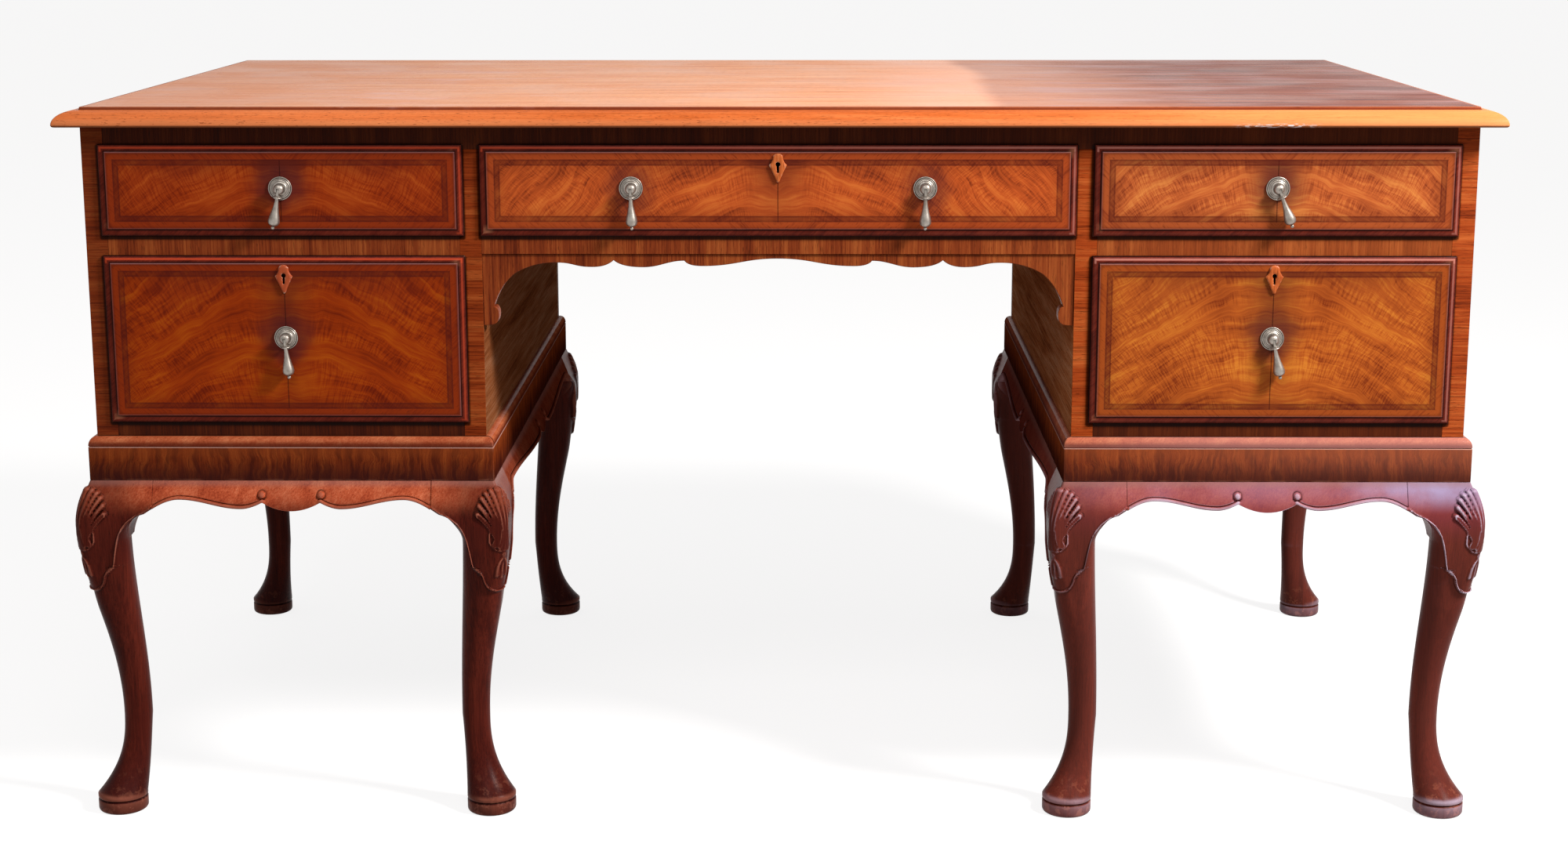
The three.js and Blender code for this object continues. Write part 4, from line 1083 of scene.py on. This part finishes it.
def apron_section(u, half):
    """A cut through an apron at u from its middle, as pairs: its inside, the bead and the face"""
    top = STAND_TOP - SEAT
    low = apron_edge(u, half)
    section = [(STAND_APRON_INSIDE, top), (STAND_APRON_INSIDE, low)]
    beaded = ease((abs(u) - CUSP_AT + 4) / 5)
    base = low + BEAD_HEIGHT - 0.5
    for j in range(7):
        bend = math.pi * j / 6
        z = low + (BEAD_HEIGHT - 0.5) / 2 * (1 - math.cos(bend))
        section.append((-leg_out(z) - beaded * (BEAD_PROUD + 0.5) * math.sin(bend) ** 0.8, z))
    for j in range(1, 25):
        z = mix(base, top, (j / 24) ** 1.35)
        sunk = GROOVE * max(0, 1 - abs(z - base + 0.4) / 1.8)
        section.append((sunk * beaded - apron_face(u, z), z))
    return section


def stand_apron(name, half, centre, turn, material):
    count = round(half * 2 / 1.5)
    rings = []
    for k in range(count + 1):
        u = mix(-half, half, k / count)
        rings.append([(u, y, z) for y, z in apron_section(u, half)])
    points, faces = loft(rings)
    spin = Matrix.Rotation(turn, 3, "Z")
    turned = [spin @ Vector(p) for p in points]
    placed = [(p.x + centre[0], p.y + centre[1], p.z) for p in turned]
    piece(name + "_moulded", (placed, faces), material, "carcass", name, 40)


def stand_aprons(material, side_face):
    for side, sign in SIDES:
        centre = sign * PEDESTAL_X
        half = PEDESTAL_HALF - BRACKET_END - SEAT
        stand_apron(side + "_front_apron", half, (centre, FRONT), 0, material)
        stand_apron(side + "_back_apron", half, (centre, CARCASS_Y), math.pi, material)
        half = CARCASS_Y - BRACKET_END - SEAT
        for flank, x_sign in (("outer", sign), ("inner", -sign)):
            place = (centre + x_sign * PEDESTAL_HALF, 0)
            stand_apron(f"{side}_{flank}_apron", half, place, x_sign * math.pi / 2, side_face)


# The kneehole apron's lower edge from its middle outwards, as shares of half its width and of its
# height. A line has its end, then how far a swing pulls or the handle of a curve, and its steps
KNEEHOLE_MIDDLE = (0, 0.065)
KNEEHOLE_EDGE = (
    ((0.256, 0.17), 0.45, 24),
    ((0.317, 0.095), (0.305, 0.17), 8),
    ((0.456, 0.187), 0.4, 16),
    ((0.556, 0.088), (0.53, 0.187), 10),
    ((0.629, 0.184), (0.58, 0.184), 10),
    ((0.752, 0.122), 0.5, 12),
    ((0.893, 0.28), (0.83, 0.122), 12),
    ((0.965, 0.74), (0.943, 0.45), 12),
    ((0.948, 0.86), (0.948, 0.74), 10),
    ((0.978, 1), (0.948, 1), 8),
)
KNEEHOLE_SOFT = 0.6


def swing(start, end, pull, steps):
    """A level-ended cubic between two places"""
    points = []
    for k in range(steps + 1):
        t = k / steps
        a, b, c, d = (1 - t) ** 3, 3 * t * (1 - t) ** 2, 3 * t * t * (1 - t), t ** 3
        x = a * start[0] + b * mix(start[0], end[0], pull) + c * mix(end[0], start[0], pull) + d * end[0]
        points.append((x, (a + b) * start[1] + (c + d) * end[1]))
    return points


def kneehole_outline():
    """Half of the apron's lower edge, from its middle out to its side"""
    half = (APRON_HIGH[0] - APRON_LOW[0]) / 2
    tall = APRON_HIGH[2] - APRON_LOW[2]

    def place(share):
        return half * share[0], APRON_HIGH[2] - tall * share[1]

    here = place(KNEEHOLE_MIDDLE)
    path = [here]
    for end, bend, steps in KNEEHOLE_EDGE:
        curved = isinstance(bend, tuple)
        there = place(end)
        more = curve(here, place(bend), there, steps) if curved else swing(here, there, bend, steps)
        path += more[1:]
        here = there
    return path + [(half, APRON_HIGH[2] - tall)]


def kneehole_apron(material):
    """The scalloped board under the centre drawer, with softened edges"""
    half = kneehole_outline()
    top = APRON_HIGH[2]
    outline = [(-x, z) for x, z in half[:0:-1]] + half + [(half[-1][0], top), (-half[-1][0], top)]
    soft = KNEEHOLE_SOFT
    drawn_in = []
    for k, (x, z) in enumerate(outline):
        (ax, az), (bx, bz) = outline[k - 1], outline[(k + 1) % len(outline)]
        length = math.hypot(bx - ax, bz - az)
        drawn_in.append((x - soft * (bz - az) / length, z + soft * (bx - ax) / length))
    front, back = APRON_LOW[1], APRON_HIGH[1]
    levels = ((front, drawn_in), (front + soft, outline), (back - soft, outline), (back, drawn_in))
    rings = [[(x, y, z) for x, z in path] for y, path in levels]
    piece("kneehole_apron_fretted", loft(rings), material, "carcass", "kneehole_apron", 40)


# Drawer fronts
def cut_by(made, *tools):
    """Cuts a piece with closed tools, which are used up"""
    for tool in tools:
        modifier = made.modifiers.new("cut", "BOOLEAN")
        modifier.operation = "DIFFERENCE"
        modifier.solver = "EXACT"
        modifier.object = tool
    graph = bpy.context.evaluated_depsgraph_get()
    graph.update()
    cut = bpy.data.meshes.new_from_object(made.evaluated_get(graph))
    made.modifiers.clear()
    old = made.data
    made.data = cut
    bpy.data.meshes.remove(old)
    for tool in tools:
        bpy.data.objects.remove(tool)
    smooth(made.data, 32)


def keyhole_outline(x, z, steps=20):
    """A round hole with a slot below it, as pairs"""
    half = KEY_SLOT_WIDTH / 2
    spread_angle = math.asin(half / KEY_RADIUS)
    start, end = -math.pi / 2 + spread_angle, math.pi * 3 / 2 - spread_angle
    turns = [mix(start, end, k / steps) for k in range(steps + 1)]
    arc = [(x + KEY_RADIUS * math.cos(t), z + KEY_RADIUS * math.sin(t)) for t in turns]
    return arc + [(x - half, z - KEY_SLOT_LENGTH), (x + half, z - KEY_SLOT_LENGTH)]


def lock_tools(drawer, x, face, back, top):
    """Tools for the keyhole and for the mortise that the lock sits in"""
    low, high = box(drawer + "_lock")
    outline = keyhole_outline(x, top - KEY_DROP)
    hole = [[(a, y, b) for a, b in outline] for y in (face - 4, back + 4)]
    x0, x1 = low[0] - SEAT, high[0] + SEAT
    z0, z1 = low[2] - SEAT, top + 6
    corners = ((x0, z0), (x1, z0), (x1, z1), (x0, z1))
    mortise = [[(a, y, b) for a, b in corners] for y in (low[1] - SEAT, back + 4)]
    return solid("key_tool", *loft(hole)), solid("lock_tool", *loft(mortise))


def drawer_front(drawer, material):
    name = drawer + "_drawer_front"
    low, high = box(name)
    (x, half_x), (z, half_z) = middle_and_half(low, high, 0), middle_and_half(low, high, 2)
    face, back = low[1], high[1]
    behind_lip = FRONT - SEAT
    foot = face + LIP_STEP
    rebate = LIP_OVERLAP + 1
    down = 0.85
    step = LIP_OVOLO + LIP_STEP_WIDTH
    ovolo = quarter(LIP_OVOLO, behind_lip - LIP_FLAT - foot, 10)[::-1]
    profile = [(rebate, back, down), (rebate, behind_lip, down), (0.4, behind_lip, 0)]
    profile.append((0, behind_lip - 0.4, 0))
    profile += [(inset, foot + rise, 0) for inset, rise in ovolo]
    profile += [(step - 0.1, foot - 0.1, 0), (step + 0.05, face + 0.35, 0)]
    profile += [(step + more, face, 0) for more in (0.4, 2.5, 9, 22)]
    count = side_counts(half_x, half_z)
    rings = []
    for inset, y, drop in profile:
        ring = rounded_ring(half_x - inset, half_z - inset, max(0.3, 1 - inset * 0.1), count)
        rings.append([(x + a, y, z + b - drop) for a, b in ring])
    made = piece(drawer + "_front_veneered", loft(rings), material, drawer + "_drawer", name)
    if drawer in LOCKED:
        cut_by(made, *lock_tools(drawer, x, face, back, high[2]))


# A shield's outline from its foot up, as shares of its half width and height: handles, ends and steps
SHIELD_FOOT = (0, 1)
SHIELD_CURVES = (
    ((0.12, 0.99), (0.2, 0.93), 4),
    ((0.5, 0.7), (1, 0.4), 9),
    ((0.55, 0.27), (0.55, 0.12), 7),
    ((0.45, 0), (0, 0), 7),
)
# Rings from its edge to the keyhole: how far in, and how far out as a share of the thickness
SHIELD_LEVELS = ((0, 0), (0, 0.45), (0.05, 0.72), (0.16, 0.9), (0.4, 0.99), (0.8, 1), (0.96, 0.94),
                 (1, 0.8), (1, 0))


def shield(drawer, material):
    """A keyhole shield with a domed face, pierced by the keyhole"""
    node = drawer + "_escutcheon"
    low, high = box(node)
    x, half = middle_and_half(low, high, 0)
    tall = high[2] - low[2]
    thick = high[1] - low[1]
    key_z = high[2] - SHIELD_ABOVE
    right = [SHIELD_FOOT]
    start = SHIELD_FOOT
    for handle, end, steps in SHIELD_CURVES:
        right += curve(start, handle, end, steps)[1:]
        start = end
    outline = [(x + half * a, high[2] - tall * b) for a, b in right]
    outline += [(x - half * a, high[2] - tall * b) for a, b in right[1:-1][::-1]]
    hole = keyhole_outline(x, key_z, 40)

    def direction(point):
        return math.atan2(point[1] - (key_z - 3), point[0] - x)

    # each outline point meets the hole's point that lies in the same direction
    inner = []
    for point in outline:
        turn = direction(point)
        inner.append(min(hole, key=lambda p: abs(math.remainder(direction(p) - turn, math.tau))))
    rings = []
    for share, out in SHIELD_LEVELS:
        y = high[1] - thick * out
        rings.append([(mix(o[0], i[0], share), y, mix(o[1], i[1], share)) for o, i in zip(outline, inner)])
    skin = loft(rings, closed=True)
    piece(drawer + "_shield_carved", skin, material, drawer + "_drawer", node, 40)


# Pulls
def circle(radius, steps):
    turns = [math.tau * k / steps for k in range(steps)]
    return [(radius * math.cos(t), radius * math.sin(t)) for t in turns]


def lathe(profile, steps):
    """A skin round the Z axis from pairs of radius and height"""
    return loft([[(x, y, z) for x, y in circle(max(radius, 0.02), steps)] for radius, z in profile])


def rosette_mesh():
    """The plate with its beaded rim, its dome and the round knob, round Z"""
    inside = PLATE_RADIUS - RIM_WIDTH
    foot = PLATE_RIM * 0.7
    half_rim = RIM_WIDTH / 2
    profile = [(0, 0), (PLATE_RADIUS - 0.3, 0), (PLATE_RADIUS, 0.3), (PLATE_RADIUS, foot * 0.8)]
    for k in range(7):
        turn = math.pi * k / 6
        rise = (PLATE_RIM - foot * 0.8) * math.sin(turn)
        profile.append((PLATE_RADIUS - half_rim + half_rim * math.cos(turn), foot * 0.8 + rise))
    profile.append((inside - 0.3, foot * 0.5))
    steps = ((0.97, 0.25), (0.93, 0.42), (0.88, 0.46), (0.86, 0.38), (0.83, 0.38), (0.8, 0.58),
             (0.75, 0.68), (0.73, 0.6), (0.7, 0.6), (0.67, 0.78), (0.6, 0.92), (0.54, 0.99))
    profile += [(inside * wide, mix(foot * 0.5, DOME, up)) for wide, up in steps]
    profile += [(KNOB_RADIUS * 0.98, DOME * 0.96), (KNOB_NECK + 0.2, DOME * 0.92), (KNOB_NECK, DOME * 1.05)]
    for k in range(17):
        turn = math.radians(mix(-46, 88, k / 16))
        profile.append((KNOB_RADIUS * math.cos(turn), KNOB_REACH + KNOB_HALF * math.sin(turn)))
    profile.append((0, KNOB_REACH + KNOB_HALF))
    return lathe(profile, 64)


def slot_mesh():
    """The slot that the drop's tongue hangs and swings in, in the pull's own frame, where the front is -Y"""
    reach = KNOB_REACH + KNOB_HALF + 5
    roof = math.pi - DROP_SWING

    def rounded(turn):
        return SLOT_RADIUS * math.cos(turn) - KNOB_REACH, SLOT_RADIUS * math.sin(turn) - PIN_DROP

    start = rounded(roof)
    outline = [(-reach * 2, -reach * 2)]
    outline.append((start[0] - reach * math.sin(DROP_SWING), start[1] - reach * math.cos(DROP_SWING)))
    outline += [rounded(roof * (1 - k / 12)) for k in range(13)]
    outline.append((SLOT_RADIUS - KNOB_REACH, -reach * 2))
    return loft([[(x, y, z) for y, z in outline] for x in (-SLOT_WIDTH / 2, SLOT_WIDTH / 2)])


def pin_mesh():
    half = KNOB_RADIUS * 0.7
    ends = circle(PIN_RADIUS, 20)
    return loft([[(x, y - KNOB_REACH, z - PIN_DROP) for y, z in ends] for x in (-half, half)])


def drop_mesh():
    """The bell and the tear, round Z, with the pin at the origin"""
    bell_foot = -BELL_DROP - BELL_HEIGHT
    ball = -DROP_LENGTH + DROP_BALL
    tear_end = ball + DROP_BALL * 0.8
    bell = ((0, 0), (TONGUE_WIDTH / 2 + 0.2, 0), (1.9, 0.3), (2.6, 1), (3.9, 1.9), (5.1, 2.4),
            (BELL_RADIUS, 2.8))
    profile = [(radius, -BELL_DROP - down) for radius, down in bell]
    profile += [(BELL_RADIUS, bell_foot + 0.1), (BELL_RADIUS - 0.5, bell_foot), (2.3, bell_foot)]
    profile.append((2, bell_foot - 0.4))
    tear = ((0.08, 0.33), (0.18, 0.37), (0.3, 0.45), (0.42, 0.57), (0.55, 0.72), (0.65, 0.86),
            (0.75, 0.96), (0.82, 1), (0.88, 0.97), (0.93, 0.85), (0.965, 0.66), (0.985, 0.45))
    profile += [(DROP_RADIUS * wide, mix(bell_foot, tear_end, down)) for down, wide in tear]
    profile.append((DROP_BALL * 0.55, tear_end))
    for k in range(1, 10):
        turn = math.radians(mix(50, -88, k / 9))
        profile.append((DROP_BALL * math.cos(turn), ball + DROP_BALL * math.sin(turn)))
    profile.append((0, ball - DROP_BALL))
    return lathe(profile, 40)


def tongue_mesh():
    """The flat tongue with a round end and an eye for the pin"""
    foot = -BELL_DROP - BELL_HEIGHT / 3
    eye = PIN_RADIUS + PIN_PLAY
    turns = [math.pi * k / 16 for k in range(17)]
    outline = [(TONGUE_RADIUS * math.cos(t), TONGUE_RADIUS * math.sin(t)) for t in turns]
    outline += [(-TONGUE_RADIUS, mix(0, foot, k / 4)) for k in range(1, 5)]
    outline += [(mix(-TONGUE_RADIUS, TONGUE_RADIUS, k / 4), foot) for k in range(1, 5)]
    outline += [(TONGUE_RADIUS, mix(foot, 0, k / 4)) for k in range(1, 4)]
    hole = [(eye * math.cos(t), eye * math.sin(t)) for t in (math.atan2(b, a) for a, b in outline)]
    half = TONGUE_WIDTH / 2
    levels = ((-half, outline), (half, outline), (half, hole), (-half, hole))
    return loft([[(x, a, b) for a, b in path] for x, path in levels], closed=True)


def merged(first, second):
    """Two meshes' points and faces as one"""
    start = len(first[0])
    return first[0] + second[0], first[1] + [tuple(start + k for k in face) for face in second[1]]


def pull(name, drawer, sway, material):
    """A rosette, the pin in its slotted knob, and the drop that hangs on it"""
    node = name + "_pull_rosette"
    body = drawer + "_drawer"
    low, high = box(node)
    # the plate's centre in height is a plate radius below its highest point
    origin = Vector(((low[0] + high[0]) / 2, high[1], high[2] - PLATE_RADIUS))
    lean = Matrix.Rotation(-math.radians(sway), 3, "Y")

    def hung(points, faces):
        return [lean @ Vector(p) + origin for p in points], faces

    points, faces = rosette_mesh()
    facing_front = [(x, -z, y) for x, y, z in points]
    rosette = hung(facing_front, faces)
    made = piece(name + "_rosette_turned", rosette, material, body, node, 40)
    cut_by(made, solid("slot_tool", *hung(*slot_mesh())))
    piece(name + "_pin", hung(*pin_mesh()), material, body)
    points, faces = merged(drop_mesh(), tongue_mesh())
    lowered = [(x, y - KNOB_REACH, z - PIN_DROP) for x, y, z in points]
    drop = hung(lowered, faces)
    piece(name + "_drop_turned", drop, material, name + "_drop", name + "_pull_drop", 40)


# The photograph's camera: a pinhole fitted to the desk's edges, in pixels of its frame
IMAGE_WIDTH = 2000
IMAGE_HEIGHT = 1100
FOCAL_PIXELS = 3046.4
CENTRE_PIXEL = (996.5, 482.8)
SENSOR_WIDTH = 36
CAMERA_PLACE = (30.3, -2905.3, 991.24)
CAMERA_PITCH = math.radians(11.2145)
CAMERA_ROLL = math.radians(-0.0555)
CAMERA_YAW = math.radians(0.6151)


def camera():
    data = bpy.data.cameras.new("photo_camera")
    data.sensor_width = SENSOR_WIDTH
    data.sensor_fit = "HORIZONTAL"
    data.lens = FOCAL_PIXELS / IMAGE_WIDTH * SENSOR_WIDTH
    data.shift_x = (IMAGE_WIDTH / 2 - CENTRE_PIXEL[0]) / IMAGE_WIDTH
    data.shift_y = (CENTRE_PIXEL[1] - IMAGE_HEIGHT / 2) / IMAGE_WIDTH
    data.clip_end = 100
    made = linked("photo_camera", data)
    turn = Matrix.Rotation(CAMERA_YAW, 3, "Z")
    ahead = turn @ Vector((0, math.cos(CAMERA_PITCH), -math.sin(CAMERA_PITCH)))
    across = turn @ Vector((1, 0, 0))
    upward = turn @ Vector((0, math.sin(CAMERA_PITCH), math.cos(CAMERA_PITCH)))
    right = math.cos(CAMERA_ROLL) * across + math.sin(CAMERA_ROLL) * upward
    up = -math.sin(CAMERA_ROLL) * across + math.cos(CAMERA_ROLL) * upward
    axes = Matrix((right, up, -ahead)).transposed().to_4x4()
    made.matrix_world = Matrix.Translation(Vector(CAMERA_PLACE) * MM) @ axes
    bpy.context.scene.camera = made


# Floor, surroundings and lamps, in metres
FLOOR_REACH = 40


def stage():
    """A pale floor that reads as white where no shadow falls on it"""
    mesh = bpy.data.meshes.new("floor")
    corners = [(x * FLOOR_REACH, y * FLOOR_REACH, 0) for x, y in ((-1, -1), (1, -1), (1, 1), (-1, 1))]
    mesh.from_pydata(corners, [], [(0, 1, 2, 3)])
    floor = linked("floor", mesh)
    material = bpy.data.materials.new("floor_white")
    n = Nodes(material)
    plain = n.make("BsdfDiffuse", {"Color": (0.42, 0.41, 0.40, 1)})
    shown = n.make("BsdfDiffuse", {"Color": (0.34, 0.33, 0.33, 1)})
    bright = n.make("AddShader", (shown, n.make("Emission", {"Strength": 0.84})))
    seen = n.seen_by("Is Camera Ray", "Is Glossy Ray")
    n.make("OutputMaterial", {"Surface": n.make("MixShader", (seen, plain, bright))}, None)
    mesh.materials.append(material)


def world():
    """Soft white surroundings"""
    made = bpy.data.worlds.new("studio")
    n = Nodes(made)
    soft = n.make("Background", {"Color": (1, 0.98, 0.96, 1), "Strength": 0.26})
    white = n.make("Background", {"Strength": 1})
    seen = n.seen_by("Is Camera Ray", "Is Glossy Ray", "Is Transmission Ray")
    n.make("OutputWorld", {"Surface": n.make("MixShader", (seen, soft, white))}, None)
    bpy.context.scene.world = made


def lamp(name, place, target, size, power, colour):
    data = bpy.data.lights.new(name, "AREA")
    data.shape = "RECTANGLE"
    data.size, data.size_y = size
    data.energy = power
    data.color = colour
    made = linked(name, data)
    made.location = place
    made.rotation_euler = (Vector(target) - Vector(place)).to_track_quat("-Z", "Y").to_euler()


def dress(node, material, bevel=0.8):
    """Gives a carried-over CAD node its material, and rounds its edges a little"""
    made = frame["nodes"][node]
    made.data.materials.clear()
    made.data.materials.append(material)
    rounding = made.modifiers.new("rounding", "BEVEL")
    rounding.width = bevel * MM
    rounding.segments = 2
    rounding.limit_method = "ANGLE"


camera()
stage()
world()
lamp("key_right", (1.85, -1.3, 2.25), (0.35, -0.35, 0.5), (0.5, 0.5), 108, (1, 0.98, 0.95))
lamp("high_front", (-0.4, -2.5, 2.9), (-0.2, -0.3, 0.4), (2, 0.8), 26, (1, 0.98, 0.96))

RAIL = board_material("walnut_rail", "z", "4a160b 7e3618 a6582a", 2)
# A darker copy of the rail wood: painted shade for the rails under the top and under the drawers
SHADED = board_material("walnut_shaded_rail", "z", "280c06 431809 5e2a12", 2)
SIDE = side_material("walnut_side", "4c1a0c 7e3a20 9c5632", 0.42, 0.04)
CHEEK = side_material("walnut_cheek", "6c3018 ac663c cc926c", 0.6, 0)
FRIEZE = frieze_material("walnut_frieze", 0.03)
FRIEZE_SIDE = frieze_material("walnut_frieze_side", 0)
LINING = lining_material()
BRASS = metal_material("antique_brass", "847a70 989088 aaa298", 0.36)
LOCK_BRASS = metal_material("lock_brass", "6a5128 9a7b45 c2a468", 0.35)
SHIELD = shield_material()
# The seed of each drawer front's veneer, and its tones
VENEERS = {
    "left_upper": (1, "6c1c08 98360e b8541c"),
    "left_lower": (5, "6a1c06 963408 b4540e"),
    "centre": (9, "742c14 b65022 d87634"),
    "right_upper": (13, "722a16 b45a2c dc8c46"),
    "right_lower": (17, "742c10 ac541e d4822e"),
}

top_board(top_material())
for side, sign in SIDES:
    base_frame(side, sign, FRIEZE, FRIEZE_SIDE)
    dress(side + "_outer_side", SIDE)
    dress(side + "_inner_side", CHEEK)
    dress(side + "_drawer_divider", RAIL)
    dress(side + "_pedestal_bottom", SHADED)
dress("top_rail", SHADED)
dress("centre_drawer_divider", RAIL)
kneehole_apron(RAIL)
dress("back_panel", board_material("walnut_back", "x", "3c1d10 5c3018 774428", 4, 0.5))
STAND = stand_material("walnut_stand", 0.035)
legs(STAND)
stand_aprons(STAND, stand_material("walnut_stand_side", 0))
for drawer in DRAWERS:
    drawer_front(drawer, front_material(drawer, *VENEERS[drawer]))
    dress(drawer + "_drawer_box", LINING, 0.6)
    if drawer in LOCKED:
        shield(drawer, SHIELD)
        dress(drawer + "_lock", LOCK_BRASS, 0.4)
for name, (drawer, sway) in PULLS.items():
    pull(name, drawer, sway, BRASS)

scene = bpy.context.scene
scene.view_settings.view_transform = "Standard"
